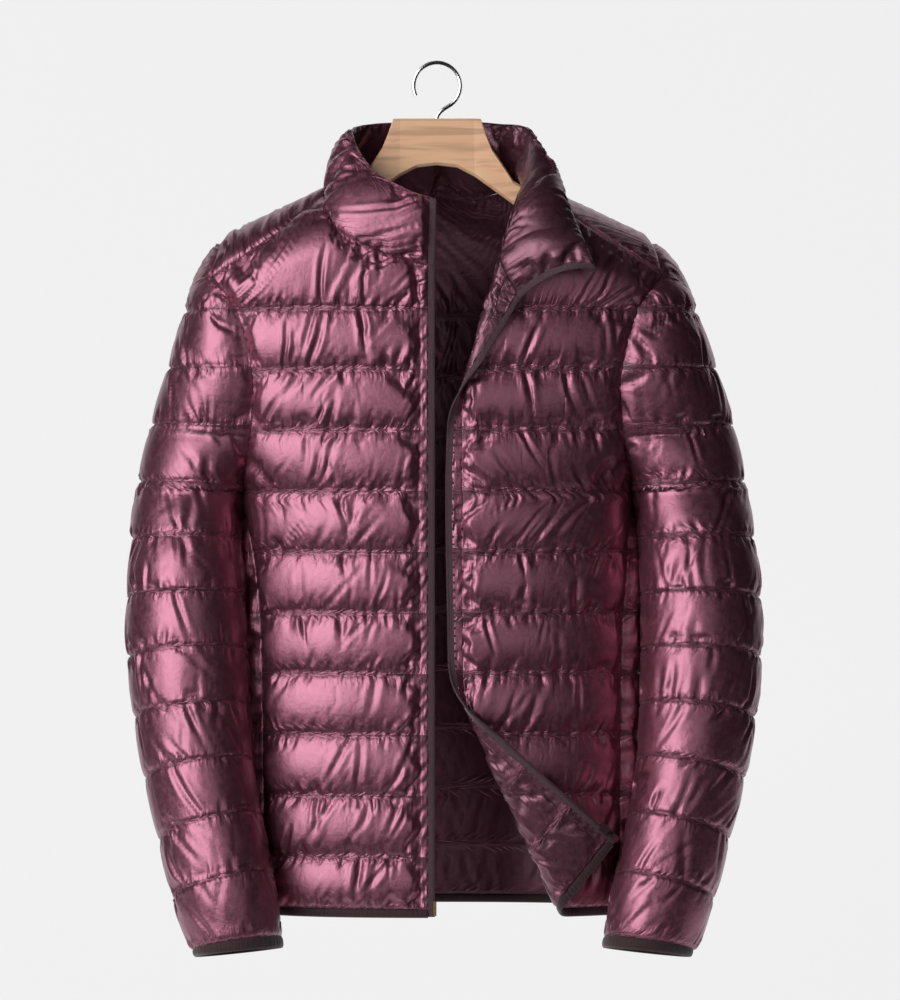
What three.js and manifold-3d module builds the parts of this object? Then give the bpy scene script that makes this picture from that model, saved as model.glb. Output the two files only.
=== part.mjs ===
// Hip-length quilted down jacket, hung open on a wooden hanger.
// Millimetres, +Z up, the wearer's front towards -Y. The origin is where the hook bears on its rail.
// "Right" and "left" are the wearer's: the right front is on the -X side.
import * as THREE from "three";
import Module from "manifold-3d";
import { mergeVertices } from "three/addons/utils/BufferGeometryUtils.js";

const V = (x, y, z) => new THREE.Vector3(x, y, z);

// Driving dimensions of the cloth
const WALL = 1.0; // half the thickness of shell, down and lining where they are sewn flat
const EDGE_WALL = 0.6; // the same along a seam, so that two edges meet without crossing
const SEAM_GAP = 0.8; // between the middle surfaces of two pieces at their seam
const LOFT = 6.5; // how far a quilted channel stands out between its stitch lines
const LOFT_START = 16; // loft grows from nothing over this length beside a seam
const HEM_LINE = -821.5; // where the hem binding is sewn on
const HEM_BINDING = 8.5;
const CUFF_BINDING = 9;

// Quilting: level stitch lines round the body, and rings round each sleeve
const FIRST_LINE = -244; // the same height on body and sleeves
const BODY_LINE_STEP = 58.6;
const BODY_CHANNELS = 10;
const ARMHOLE_CHANNELS = 3; // channels from the first line down to the underarm
const SLEEVE_LINE_STEP = 55.5;
const SLEEVE_CHANNELS = 8; // below the underarm
const STEPS_PER_CHANNEL = 3;
const YOKE_STEPS = 10; // from the shoulder seam down to the first line
const CAP_STEPS = 3; // of those, the ones that the sleeve cap runs down as well

// Shoulders: two straight slopes with a rounded top
const NECK_SIDE_X = 113;
const NECK_SIDE_Z = -129;
const SHOULDER_SLOPE = 0.497;
const SHOULDER_X = 218;
const ROUND_AT_NECK = 85;
const ROUND_AT_SHOULDER = 52;
const SEAM_BELOW_RIDGE = { atNeck: 12.5, perMm: 0.17 }; // the shoulder seam lies forward of the ridge

// Level sections of the body: half width and depth of each side, on a rounded oval
const OVAL_POWER = 2.4;
const BODY = [
  { z: -60, half: 262, front: 92, back: 82 },
  { z: -200, half: 258, front: 95, back: 88 },
  { z: -250, half: 250, front: 98, back: 92 },
  { z: -300, half: 236, front: 100, back: 95 },
  { z: -365.6, half: 212, front: 101, back: 96 },
  { z: -400, half: 198, front: 101, back: 96 },
  { z: -424.2, half: 190, front: 101, back: 96 },
  { z: -450, half: 187, front: 101, back: 96 },
  { z: -500, half: 185, front: 100, back: 96 },
  { z: -600, half: 185, front: 100, back: 96 },
  { z: -700, half: 186, front: 100, back: 95 },
  { z: -850, half: 189, front: 100, back: 94 },
];
const LEFT_WIDER = { by: 9, over: 90 }; // below the underarm the body reaches further to the wearer's left
const UNDERARM_Z = FIRST_LINE - ARMHOLE_CHANNELS * BODY_LINE_STEP;

// The armhole seam and, below the underarm, the side seam: distance from the centre
const ARMHOLE = [
  { z: -248.4, x: 193 },
  { z: -275, x: 184 },
  { z: -310, x: 178 },
  { z: -350, x: 179 },
  { z: -385, x: 184 },
  { z: -410, x: 189 },
  { z: -424.2, x: 190 },
];
const SIDE_SEAM = [
  { z: -424.2, x: 190 },
  { z: -445, x: 186 },
  { z: -470, x: 180 },
  { z: -510, x: 174 },
  { z: -560, x: 170 },
  { z: -700, x: 168 },
  { z: -850, x: 168 },
];

// Front edges before anything is turned back, and the necklines, as x and z
const RIGHT_EDGE_X = -8.6;
const LEFT_EDGE = [
  { z: -200, x: 20 },
  { z: -330, x: 17 },
  { z: -424, x: 14.5 },
  { z: -600, x: 17 },
  { z: -850, x: 17 },
];
const RIGHT_NECKLINE = [
  [-109.5, -147.5],
  [-107.9, -150.5],
  [-96.9, -166.8],
  [-77.7, -180.2],
  [-51.8, -191.8],
  [-24.9, -199.4],
  [RIGHT_EDGE_X, -203.5],
];
const LEFT_NECKLINE = [
  [82.6, -126.4],
  [71, -135],
  [66.3, -149.5],
  [63.4, -171.6],
  [55.7, -192.7],
  [38.4, -204.2],
  [20, -213],
];
// The back neckline from one shoulder seam over the ridge and round to the other: side -1 is in front
const BACK_NECKLINE = [
  { x: -109.5, z: -147.5, side: -1 },
  { x: -105, z: -127.5, side: 1 },
  { x: -92, z: -131, side: 1 },
  { x: -67, z: -132, side: 1 },
  { x: -14, z: -132, side: 1 },
  { x: 38, z: -129, side: 1 },
  { x: 65, z: -122, side: 1 },
  { x: 78, z: -113.5, side: 1 },
  { x: 82.6, z: -126.4, side: -1 },
];

// The wearer's left front is turned back twice: a lapel at the neck and a corner at the hem.
// Each turn rolls the cloth round a line from "from" to "to", on the centre side of that line.
const LAPEL = { from: [71, -183.1], to: [17.3, -365.5], radius: 7, turn: Math.PI };
const CORNER = { from: [36.5, -615.1], to: [129.6, -816.7], radius: 14, turn: 2.79 };

// Sleeve sections below the underarm, square to the sleeve: distances from the jacket's centre
// The wearer's left sleeve hangs further out: by "out" on its outer side and by "in" on its inner one.
const SLEEVE = [
  { z: -424.2, outer: 288, inner: 191.8, y: -3, depth: 62, out: 9, in: 0 },
  { z: -450, outer: 291, inner: 193, y: -14, depth: 62, out: 10, in: 4 },
  { z: -507, outer: 294, inner: 190, y: -34, depth: 61, out: 13, in: 10 },
  { z: -586, outer: 292, inner: 185.5, y: -48, depth: 59, out: 15, in: 15 },
  { z: -673, outer: 279, inner: 181, y: -64, depth: 55, out: 15, in: 16 },
  { z: -721, outer: 267, inner: 175, y: -75, depth: 52, out: 14, in: 16 },
  { z: -769, outer: 255, inner: 166, y: -87, depth: 49, out: 13, in: 15 },
  { z: -817, outer: 242, inner: 156, y: -99, depth: 46, out: 12, in: 13 },
  { z: -863, outer: 231, inner: 148, y: -109, depth: 41, out: 11, in: 11 },
];
const SLEEVE_CAP = [
  { z: -236, outer: 242, out: 7 },
  { z: -284, outer: 253, out: 10 },
  { z: -313, outer: 261, out: 10 },
  { z: -371, outer: 277, out: 10 },
  { z: -424.2, outer: 288, out: 9 },
];
const CUFF_Z = -853;

// Collar: its top edge, with the share of the neck seam that lies under each point
const COLLAR_STEPS = 6;
const COLLAR_PER_COLUMN = 2; // columns of the collar for each column of the panels at the neck
const COLLAR_LOFT = { outside: 6.5, inside: 4.5 };
const COLLAR_TOP = [
  { at: 0, x: -7, y: -92, z: -137 },
  { at: 0.045, x: -25, y: -88, z: -131 },
  { at: 0.1, x: -46, y: -78, z: -119.6 },
  { at: 0.14, x: -60, y: -65, z: -109.8 },
  { at: 0.2, x: -74, y: -42, z: -90.6 },
  { at: 0.25, x: -82, y: -16, z: -72.7 },
  { at: 0.3, x: -80.7, y: 10, z: -61.5 },
  { at: 0.37, x: -62, y: 38, z: -55 },
  { at: 0.44, x: -33.8, y: 57, z: -51.8 },
  { at: 0.5, x: -3, y: 63, z: -50.9 },
  { at: 0.57, x: 33.8, y: 56, z: -51.3 },
  { at: 0.64, x: 62.4, y: 37, z: -55.2 },
  { at: 0.7, x: 86.6, y: 10, z: -60.6 },
  { at: 0.745, x: 98.9, y: -14, z: -78.2 },
  { at: 0.79, x: 111, y: -38, z: -103.8 },
  { at: 0.84, x: 122, y: -62, z: -129.8 },
  { at: 0.885, x: 129, y: -84, z: -148.8 },
  { at: 0.955, x: 141.7, y: -112, z: -182.6 },
  { at: 1, x: 150, y: -122, z: -204.2 },
];
const PRESSED_ROWS = 7; // rows of the panels below it that it presses flat
const COLLAR_CREASE = 1; // further from the seam where the collar starts to fold over
const COLLAR_STAND = 3.5; // how far the middle of the standing collar curves outwards
const COLLAR_ROLL = 22; // how far the middle of its turned-down end rises

// Zip: a tape down each front edge. Its metal pieces sit on the tape's outer edge.
const TAPE_WIDTH = 6.5;
const TAPE_WALL = 0.8;
const SLOT = 1.4; // half the height of a slot that the tape runs in
const SLIDER = { length: 10, width: 8, half: 2.6, web: [0.35, 1.65], fromEnd: 19 };
const CROWN = { width: 2, radius: 1.8, height: 3.8, hole: 1, axis: 2.1 };
const RETAINER = { length: 7, from: -3, to: 3, half: 2.2, fromEnd: 5 };
const PIN = { length: 14, from: -1.6, to: 1.6, half: 2.2, fromEnd: 9 };
const PULL = { length: 21, width: 5.6, thick: 1.4, bar: 0.7, window: 3, plateFrom: 4.2, hole: 1.5 };

// Hanger: one carved piece of wood, described from its centre out to one tip
const WOOD = [
  { x: 0, top: -53.5, bottom: -99, y: 0, thick: 13 },
  { x: 20, top: -53.5, bottom: -101.5, y: 0, thick: 13 },
  { x: 36.5, top: -53.5, bottom: -110, y: 0, thick: 13 },
  { x: 43, top: -53.8, bottom: -114.5, y: -0.8, thick: 13 },
  { x: 47, top: -66, bottom: -117.5, y: -1.2, thick: 13 },
  { x: 54, top: -83, bottom: -122.5, y: -1.8, thick: 13 },
  { x: 66.8, top: -102, bottom: -132, y: -2.4, thick: 13.5 },
  { x: 75, top: -115, bottom: -138, y: -2.8, thick: 14 },
  { x: 82.6, top: -119.5, bottom: -144, y: -3, thick: 14.5 },
  { x: 93, top: -127, bottom: -149, y: -3.4, thick: 15.5 },
  { x: 109, top: -137.6, bottom: -158, y: -3.8, thick: 17 },
  { x: 150, top: -151.2, bottom: -177, y: -4.2, thick: 20 },
  { x: 192, top: -172.6, bottom: -194, y: -4.4, thick: 23 },
  { x: 205, top: -180, bottom: -197, y: -4.4, thick: 20 },
  { x: 208, top: -184, bottom: -194, y: -4.4, thick: 15 },
];
const WOOD_CHAMFER = 2.6;
const WIRE_RADIUS = 1.9;
const WIRE_SIDES = 8;
const BORE_GAP = 0.3;
const BORE_DEPTH = 14;
const HOOK_RADIUS = 21; // inside the bend, whose top is the origin
const HOOK_FROM = -52; // degrees round the bend where the shank joins it
const HOOK_TO = 205;

// Number tools
const clamp = (t) => Math.min(1, Math.max(0, t));
const smooth = (t) => clamp(t) ** 2 * (3 - 2 * clamp(t));
const mix = (a, b, t) => a + (b - a) * t;

// A smooth curve through one column of a table, by another column.
function column(table, key, at, by = "z") {
  const order = table[0][by] < table[table.length - 1][by] ? table : [...table].reverse();
  const slope = (i) => {
    const [a, b] = [order[Math.max(0, i - 1)], order[Math.min(order.length - 1, i + 1)]];
    return (b[key] - a[key]) / (b[by] - a[by]);
  };
  let i = order.findIndex((row) => row[by] > at) - 1;
  if (at <= order[0][by]) return order[0][key];
  if (i < 0) return order[order.length - 1][key];
  const span = order[i + 1][by] - order[i][by];
  const t = (at - order[i][by]) / span;
  const [a, b] = [order[i][key], order[i + 1][key]];
  const [m, n] = [slope(i) * span, slope(i + 1) * span];
  return (2 * t ** 3 - 3 * t ** 2 + 1) * a + (t ** 3 - 2 * t ** 2 + t) * m
    + (3 * t ** 2 - 2 * t ** 3) * b + (t ** 3 - t ** 2) * n;
}

// Points along a line of points, at the given shares of its length.
function atShares(line, shares) {
  const run = [0];
  for (let i = 1; i < line.length; i++) run.push(run[i - 1] + line[i].distanceTo(line[i - 1]));
  const total = run[run.length - 1];
  const points = [];
  let j = 1;
  for (const share of shares) {
    const at = total * share;
    while (j < line.length - 1 && run[j] < at) j++;
    const t = clamp((at - run[j - 1]) / (run[j] - run[j - 1] || 1));
    points.push(line[j - 1].clone().lerp(line[j], t));
  }
  return points;
}

// n + 1 shares at equal steps, or closer together at the start.
const steps = (n, power = 1) => [...Array(n + 1).keys()].map((i) => (i / n) ** power);
// A point of the curve from one point to another that bends towards a knee.
const bent = (from, knee, to, t) =>
  from.clone().multiplyScalar((1 - t) ** 2).addScaledVector(knee, 2 * t * (1 - t)).addScaledVector(to, t * t);
const evenly = (line, n, power) => atShares(line, steps(n, power));

// Body surface
const ridge = (x) => NECK_SIDE_Z - SHOULDER_SLOPE * (Math.abs(x) - NECK_SIDE_X);
const rounding = (x) => mix(ROUND_AT_NECK, ROUND_AT_SHOULDER, clamp(Math.abs(x) / SHOULDER_X));

const wider = (z, s) => (s > 0 ? LEFT_WIDER.by * smooth((UNDERARM_Z - z) / LEFT_WIDER.over) : 0);
const halfWidth = (z, s) => column(BODY, "half", z) + wider(z, s);

function bodyDepth(x, z, side) {
  const share = clamp(Math.abs(x) / halfWidth(z, Math.sign(x)));
  const deep = column(BODY, side < 0 ? "front" : "back", z);
  const near = clamp((ridge(x) - z) / rounding(x));
  const top = Math.sqrt(1 - (1 - near) ** 2);
  return side * deep * (1 - share ** OVAL_POWER) ** (1 / OVAL_POWER) * top;
}
const onBody = (x, z, side) => V(x, bodyDepth(x, z, side), z);

// Distance over the rounded shoulder from the ridge, and the point at such a distance.
function overRidge(x, z, side) {
  const round = rounding(x);
  const drop = Math.max(0, ridge(x) - z);
  return side * (drop < round ? round * Math.acos(1 - drop / round) : (round * Math.PI) / 2 + drop - round);
}
function fromRidge(x, q) {
  const round = rounding(x);
  const angle = Math.abs(q) / round;
  const beyond = Math.abs(q) - (round * Math.PI) / 2;
  const drop = beyond < 0 ? round * (1 - Math.cos(angle)) : beyond + round;
  return onBody(x, ridge(x) - drop, q < 0 ? -1 : 1);
}

// Turns cloth that lies past a roll line round that line, towards the wearer's left.
function turned(x, z, roll) {
  const [ax, az] = roll.from;
  const along = V(roll.to[0] - ax, 0, roll.to[1] - az).normalize();
  const out = V(along.z, 0, -along.x); // towards the centre front
  const past = (x - ax) * out.x + (z - az) * out.z;
  if (past <= 0) return { x, z, lift: 0, angle: 0 };
  const angle = Math.min(past / roll.radius, roll.turn);
  const rest = past - angle * roll.radius;
  const across = roll.radius * Math.sin(angle) + rest * Math.cos(angle);
  return {
    x: x + out.x * (across - past),
    z: z + out.z * (across - past),
    lift: roll.radius * (1 - Math.cos(angle)) + rest * Math.sin(angle),
    angle,
  };
}
function leftFrontPoint(x, z) {
  const roll = z > (LAPEL.to[1] + CORNER.from[1]) / 2 ? LAPEL : CORNER;
  const t = turned(x, z, roll);
  const p = onBody(t.x, t.z, -1);
  p.y -= t.lift;
  return { p, angle: t.angle };
}

// Solids from grids of points
// rows[j][i] is a grid of middle points. Each gets an outer and an inner point along the normal.
// Rows up to "joined" close on themselves, as a tube does.
function wall(rows, outside, inside, joined = -1) {
  const [n, m] = [rows.length, rows[0].length];
  const at = (j, i) => rows[Math.min(n - 1, Math.max(0, j))][i];
  const step = (j, i) => (joined >= j ? (i + m - 1) % (m - 1) : Math.min(m - 1, Math.max(0, i)));
  const points = [];
  for (let j = 0; j < n; j++)
    for (let i = 0; i < m; i++) {
      const across = at(j, step(j, i + 1)).clone().sub(at(j, step(j, i - 1)));
      const down = at(j + 1, i).clone().sub(at(j - 1, i));
      const normal = across.cross(down).normalize();
      points.push(at(j, i).clone().addScaledVector(normal, outside(j, i)));
      points.push(at(j, i).clone().addScaledVector(normal, -inside(j, i)));
    }
  const id = (j, i, side) => 2 * (j * m + (j <= joined && i === m - 1 ? 0 : i)) + side;
  const faces = [];
  const quad = (a, b, c, d) => {
    const apart = (p, q) => points[p].distanceTo(points[q]);
    if (apart(a, c) <= apart(b, d)) faces.push([a, b, c], [a, c, d]);
    else faces.push([b, c, d], [b, d, a]);
  };
  for (let j = 0; j < n - 1; j++)
    for (let i = 0; i < m - 1; i++) {
      quad(id(j, i, 0), id(j, i + 1, 0), id(j + 1, i + 1, 0), id(j + 1, i, 0));
      quad(id(j, i, 1), id(j + 1, i, 1), id(j + 1, i + 1, 1), id(j, i + 1, 1));
    }
  for (let i = 0; i < m - 1; i++) {
    quad(id(0, i, 0), id(0, i, 1), id(0, i + 1, 1), id(0, i + 1, 0));
    quad(id(n - 1, i, 0), id(n - 1, i + 1, 0), id(n - 1, i + 1, 1), id(n - 1, i, 1));
  }
  for (let j = Math.max(0, joined); j < n - 1; j++) {
    quad(id(j, 0, 0), id(j + 1, 0, 0), id(j + 1, 0, 1), id(j, 0, 1));
    quad(id(j, m - 1, 0), id(j, m - 1, 1), id(j + 1, m - 1, 1), id(j + 1, m - 1, 0));
  }
  return faceted(points, faces);
}

function faceted(points, faces) {
  const list = [];
  for (const face of faces) {
    const [a, b, c] = face.map((k) => points[k]);
    if (a.distanceTo(b) > 1e-4 && b.distanceTo(c) > 1e-4 && c.distanceTo(a) > 1e-4) list.push(a, b, c);
  }
  const geometry = new THREE.BufferGeometry().setFromPoints(list);
  geometry.computeVertexNormals();
  return geometry;
}

// How far a channel stands out at share t of the way between two stitch lines.
const channel = (t) => Math.sin(Math.PI * clamp(t)) ** 0.8;

// Rows between stitch lines at the given heights: each has its height and its place in a channel.
function channelRows(heights) {
  const rows = [];
  for (let c = 0; c < heights.length - 1; c++)
    for (let s = 0; s < STEPS_PER_CHANNEL; s++) {
      const t = s / STEPS_PER_CHANNEL;
      rows.push({ band: 1, z: mix(heights[c], heights[c + 1], t), swell: channel(t) });
    }
  return [...rows, { band: 1, z: heights.at(-1), swell: 0 }];
}
// Rows of the band above the first stitch line, as shares of the way down it.
const bandRows = (count, from = 0) =>
  [...Array(count).keys()].map((k) => ({ band: (from + k) / (from + count), swell: channel(k / count) }));
const heightsFrom = (top, step, count, last) =>
  [...Array(count).keys()].map((k) => top - step * k).concat([last]);

const BODY_ROWS = [
  ...bandRows(YOKE_STEPS),
  ...channelRows(heightsFrom(FIRST_LINE, BODY_LINE_STEP, BODY_CHANNELS, HEM_LINE)),
];
const SLEEVE_ROWS = [
  ...channelRows(heightsFrom(FIRST_LINE, BODY_LINE_STEP, ARMHOLE_CHANNELS, UNDERARM_Z)).slice(0, -1),
  ...channelRows(heightsFrom(UNDERARM_Z, SLEEVE_LINE_STEP, SLEEVE_CHANNELS, CUFF_Z)),
];

// Loft grows from each side edge of a row of points.
function loftShares(row) {
  const run = [0];
  for (let i = 1; i < row.length; i++) run.push(run[i - 1] + row[i].distanceTo(row[i - 1]));
  const total = run[run.length - 1];
  return run.map((r) => smooth(Math.min(r, total - r) / LOFT_START));
}

// A quilted panel from its rows. The loft is less at the side, where the sleeve lies against it.
function quilted(rows, kept = () => 1) {
  const shares = rows.map(loftShares);
  const edge = (j, i) => j === 0 || j === rows.length - 1 || i === 0 || i === rows[0].length - 1;
  const shell = (j, i) => (edge(j, i) ? EDGE_WALL : WALL);
  const aside = (p) => smooth((Math.abs(p.x) / halfWidth(p.z, Math.sign(p.x)) - 0.86) / 0.12);
  const low = (p) => smooth((UNDERARM_Z + 40 - p.z) / 40) * mix(0.85, 0.65, smooth((UNDERARM_Z - p.z) / 90));
  const loft = (j, i) => {
    const p = rows[j][i];
    return edge(j, i) ? 0 : LOFT * BODY_ROWS[j].swell * shares[j][i] * kept(j, i) * (1 - low(p) * aside(p));
  };
  return wall(rows, (j, i) => shell(j, i) + loft(j, i), shell);
}

// Body panels
const SHOULDER_COLUMNS = 6;
const RIGHT_NECK_COLUMNS = 4;
const LEFT_NECK_COLUMNS = 8;
const BACK_NECK_COLUMNS = 8;
const LEFT_FINER = 1.3; // the left front's columns are closer together beside its turned edge
const BACK_SHARE = { right: 0.17, left: 0.205 }; // of a row of the back, under each shoulder seam
const edgeX = (z, s) => column(z > UNDERARM_Z ? ARMHOLE : SIDE_SEAM, "x", z) + wider(z, s);

// The shoulder seam from the armhole in to the neck, on the side of sign s, as x and z.
function shoulderSeam(s, [neckX, neckZ]) {
  const line = [];
  for (const t of steps(12)) {
    const x = mix(SHOULDER_X, Math.abs(neckX), t);
    const below = SEAM_BELOW_RIDGE.atNeck + (x - NECK_SIDE_X) * SEAM_BELOW_RIDGE.perMm;
    line.push([s * x, mix(ridge(x) - below, neckZ, smooth((t - 0.6) / 0.4))]);
  }
  return line;
}

// Points of a line drawn on the body, kept as x and distance over the ridge.
const unrolled = (line, side) => line.map(([x, z]) => V(x, 0, overRidge(x, z, side)));

// One level row of a front, from its front edge to its side.
function frontRow(z, startX, s, columns, power) {
  const half = halfWidth(z, s);
  const endX = edgeX(z, s) - SEAM_GAP / 2;
  const samples = 60;
  const angleOf = (x) => Math.asin(Math.min(1, Math.max(-1, x / half)));
  const line = [];
  for (let k = 0; k <= samples; k++)
    line.push(onBody(s * half * Math.sin(mix(angleOf(s * startX), angleOf(endX), k / samples)), z, -1));
  return evenly(line, columns, power);
}

// A front's rows. Its top edge is its neckline and then its shoulder seam.
function frontRows(side, place) {
  const { s, edge, neckline, neckColumns, power } = side;
  const columns = neckColumns + SHOULDER_COLUMNS;
  const seam = shoulderSeam(s, neckline[0]).reverse();
  const top = [
    ...evenly(unrolled([...neckline].reverse(), -1), neckColumns),
    ...evenly(unrolled(seam, -1), SHOULDER_COLUMNS).slice(1),
  ];
  const level = frontRow(FIRST_LINE, edge(FIRST_LINE), s, columns, power);
  const first = unrolled(level.map((p) => [p.x, p.z]), -1);
  return BODY_ROWS.map((row) => {
    if (row.band === 1) return frontRow(row.z, edge(row.z), s, columns, power).map((p) => place(p.x, p.z));
    return top.map((m, i) => {
      const p = fromRidge(mix(m.x, first[i].x, row.band), mix(m.z, first[i].z, row.band));
      return place(p.x, p.z);
    });
  });
}

const RIGHT = {
  s: -1,
  edge: () => RIGHT_EDGE_X,
  neckline: RIGHT_NECKLINE,
  neckColumns: RIGHT_NECK_COLUMNS,
  power: 1,
};
const LEFT = {
  s: 1,
  edge: (z) => column(LEFT_EDGE, "x", z),
  neckline: LEFT_NECKLINE,
  neckColumns: LEFT_NECK_COLUMNS,
  power: LEFT_FINER,
};
const rightPlace = (x, z) => onBody(x, z, -1);
const leftPlace = (x, z) => {
  const { p, angle } = leftFrontPoint(x, z);
  return Object.assign(p, { angle });
};

// The back wraps from one side seam round to the other, and over the ridge to the shoulder seams.
const BACK_COLUMNS = 2 * SHOULDER_COLUMNS + BACK_NECK_COLUMNS;
const BACK_STEPS = [
  ...steps(SHOULDER_COLUMNS).map((t) => t * BACK_SHARE.right),
  ...steps(BACK_NECK_COLUMNS).slice(1, -1).map((t) => mix(BACK_SHARE.right, 1 - BACK_SHARE.left, t)),
  ...steps(SHOULDER_COLUMNS).map((t) => mix(1 - BACK_SHARE.left, 1, t)),
];
function backRow(z) {
  const samples = 80;
  const half = (s) => {
    const width = halfWidth(z, s);
    const past = z < UNDERARM_Z; // beyond the side, in front
    const seam = Math.asin(Math.min(1, (edgeX(z, s) + (past ? SEAM_GAP : -SEAM_GAP) / 2) / width));
    const end = past ? Math.PI - seam : seam;
    return [...Array(samples).keys()].map((k) => {
      const a = (end * (k + 1)) / samples;
      return onBody(s * width * Math.sin(a), z, a > Math.PI / 2 ? -1 : 1);
    });
  };
  return atShares([...half(-1).reverse(), onBody(0, z, 1), ...half(1)], BACK_STEPS);
}

function backRows() {
  const seam = (s, neck) => evenly(unrolled(shoulderSeam(s, neck), -1), SHOULDER_COLUMNS);
  const neck = BACK_NECKLINE.map((m) => V(m.x, 0, overRidge(m.x, m.z, m.side)));
  const top = [
    ...seam(-1, RIGHT_NECKLINE[0]).slice(0, -1),
    ...evenly(neck, BACK_NECK_COLUMNS),
    ...seam(1, LEFT_NECKLINE[0]).slice(0, -1).reverse(),
  ].map((m, i) => {
    const onSeam = i <= SHOULDER_COLUMNS || i >= BACK_COLUMNS - SHOULDER_COLUMNS;
    return V(m.x, 0, m.z + (onSeam ? SEAM_GAP : 0));
  });
  const first = backRow(FIRST_LINE).map((p) => V(p.x, 0, overRidge(p.x, p.z, 1)));
  return BODY_ROWS.map((row) => {
    if (row.band === 1) return backRow(row.z);
    return top.map((m, i) => fromRidge(mix(m.x, first[i].x, row.band), mix(m.z, first[i].z, row.band)));
  });
}

// Sleeves, made as the wearer's right one
const SLEEVE_COLUMNS = 2 * (YOKE_STEPS - CAP_STEPS);

// A ring from its front seam round to its back seam. Above the underarm it is open towards the body.
function sleeveRing(z, swing) {
  const open = z > UNDERARM_Z + 0.01;
  const table = open ? SLEEVE_CAP : SLEEVE;
  const outer = column(table, "outer", z) + swing * column(table, "out", z);
  const inner = open ? edgeX(z, -1) : column(SLEEVE, "inner", z) + swing * column(SLEEVE, "in", z);
  const seamX = inner + SEAM_GAP / 2;
  const front = open ? -bodyDepth(-seamX, z, -1) : 0;
  const back = open ? bodyDepth(-seamX, z, 1) : 0;
  const mid = (back - front) / 2;
  const reach = (back + front) / 2;
  const depth = Math.max(column(SLEEVE, "depth", z), reach * 1.02);
  const gape = Math.PI - Math.asin(reach / depth);
  const halfX = (outer - seamX) / (1 - Math.cos(gape));
  const centreX = outer - halfX;
  const down = smooth((FIRST_LINE - z) / (FIRST_LINE - UNDERARM_Z));
  const centreY = mix(mid, column(SLEEVE, "y", z), down);
  const lean = smooth((UNDERARM_Z - z) / 200);
  const slope = (key) => (column(SLEEVE, key, z - 20) - column(SLEEVE, key, z + 20)) / 40;
  const leanX = (lean * (slope("outer") + slope("inner"))) / 2;
  const leanY = lean * slope("y");
  const points = [];
  for (let i = 0; i <= SLEEVE_COLUMNS; i++) {
    const a = gape * (1 - (2 * i) / SLEEVE_COLUMNS);
    const dx = halfX * Math.cos(a);
    const dy = -depth * Math.sin(a);
    const y = open ? mix(centreY, mid, Math.abs(a / gape) ** 4) : centreY;
    points.push(V(-(centreX + dx), y + dy, z + leanX * dx + leanY * dy));
  }
  return points;
}

// The armhole above the first line: the panels' edges, front and back, each moved out by the seam's gap.
function armholeEdges(frontGrid, backGrid) {
  const outward = (row, at, next) => row[at].clone().sub(row[next]).normalize();
  const moved = (row, at, next) => row[at].clone().addScaledVector(outward(row, at, next), SEAM_GAP);
  const last = frontGrid[0].length - 1;
  const front = frontGrid.slice(0, YOKE_STEPS + 1).map((row) => moved(row, last, last - 1));
  const back = backGrid.slice(0, YOKE_STEPS + 1).map((row) => moved(row, 0, 1));
  return { front, back };
}

function sleeveGrid(frontGrid, backGrid, swing) {
  const { front, back } = armholeEdges(frontGrid, backGrid);
  const low = YOKE_STEPS - CAP_STEPS;
  const crown = front[0].clone().lerp(back[0], 0.5);
  const top = [...front.slice(1, low + 1).reverse(), crown, ...back.slice(1, low + 1)];
  const first = sleeveRing(FIRST_LINE, swing);
  const rows = [];
  for (let k = 0; k < CAP_STEPS; k++) {
    const t = k / CAP_STEPS;
    rows.push(top.map((p, i) => {
      if (i === 0) return front[low + k];
      if (i === SLEEVE_COLUMNS) return back[low + k];
      const end = first[i];
      const knee = V(mix(p.x, end.x, 0.8), mix(p.y, end.y, 0.7), mix(p.z, end.z, 0.12));
      return bent(p, knee, end, t);
    }));
  }
  return [...rows, ...SLEEVE_ROWS.map((row) => sleeveRing(row.z, swing))];
}

// The tube's rows run from the cuff up, so that the closed rings come first.
function sleeveSolid(grid) {
  const rows = grid.map((row) => [...row].reverse()).reverse();
  const marks = [...bandRows(CAP_STEPS), ...SLEEVE_ROWS].reverse();
  const joined = marks.filter((mark) => mark.band === 1 && mark.z < UNDERARM_Z + 0.01).length - 1;
  const shares = rows.map(loftShares);
  const beside = (i) => smooth((Math.abs((2 * i) / SLEEVE_COLUMNS - 1) - 0.5) / 0.35); // 1 next to the body
  const atSeam = (i) => i === 0 || i === SLEEVE_COLUMNS;
  const edge = (j, i) => (j > joined && atSeam(i)) || j === 0 || j === rows.length - 1;
  const shell = (j, i) => (edge(j, i) ? EDGE_WALL : WALL);
  const loft = (j, i) => LOFT * marks[j].swell * (j > joined ? shares[j][i] : 1) * mix(1, 0.15, beside(i));
  return wall(rows, (j, i) => shell(j, i) + (edge(j, i) ? 0 : loft(j, i)), shell, joined);
}

function cuffSolid(swing) {
  const levels = [CUFF_Z - SEAM_GAP - CUFF_BINDING, CUFF_Z - SEAM_GAP];
  const rows = levels.map((z) => sleeveRing(z, swing).reverse());
  return wall(rows, () => 1.6, () => 1.2, rows.length);
}

// Collar: its foot follows the panels' edges at the neck, then its rows rise to the top edge.
function neckPoints(rightGrid, backGrid, leftGrid) {
  const point = (grid, i) => {
    const along = grid[0][i + 1].clone().sub(grid[0][Math.max(0, i - 1)]).normalize();
    const away = grid[0][i].clone().sub(grid[1][i]);
    return { p: grid[0][i].clone(), away: away.addScaledVector(along, -away.dot(along)).normalize() };
  };
  const list = [];
  for (let i = 0; i < RIGHT_NECK_COLUMNS; i++) list.push(point(rightGrid, i));
  for (let i = 0; i <= BACK_NECK_COLUMNS; i++) list.push(point(backGrid, SHOULDER_COLUMNS + i));
  for (let i = LEFT_NECK_COLUMNS - 1; i >= 0; i--) list.push(point(leftGrid, i));
  return list;
}

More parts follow.
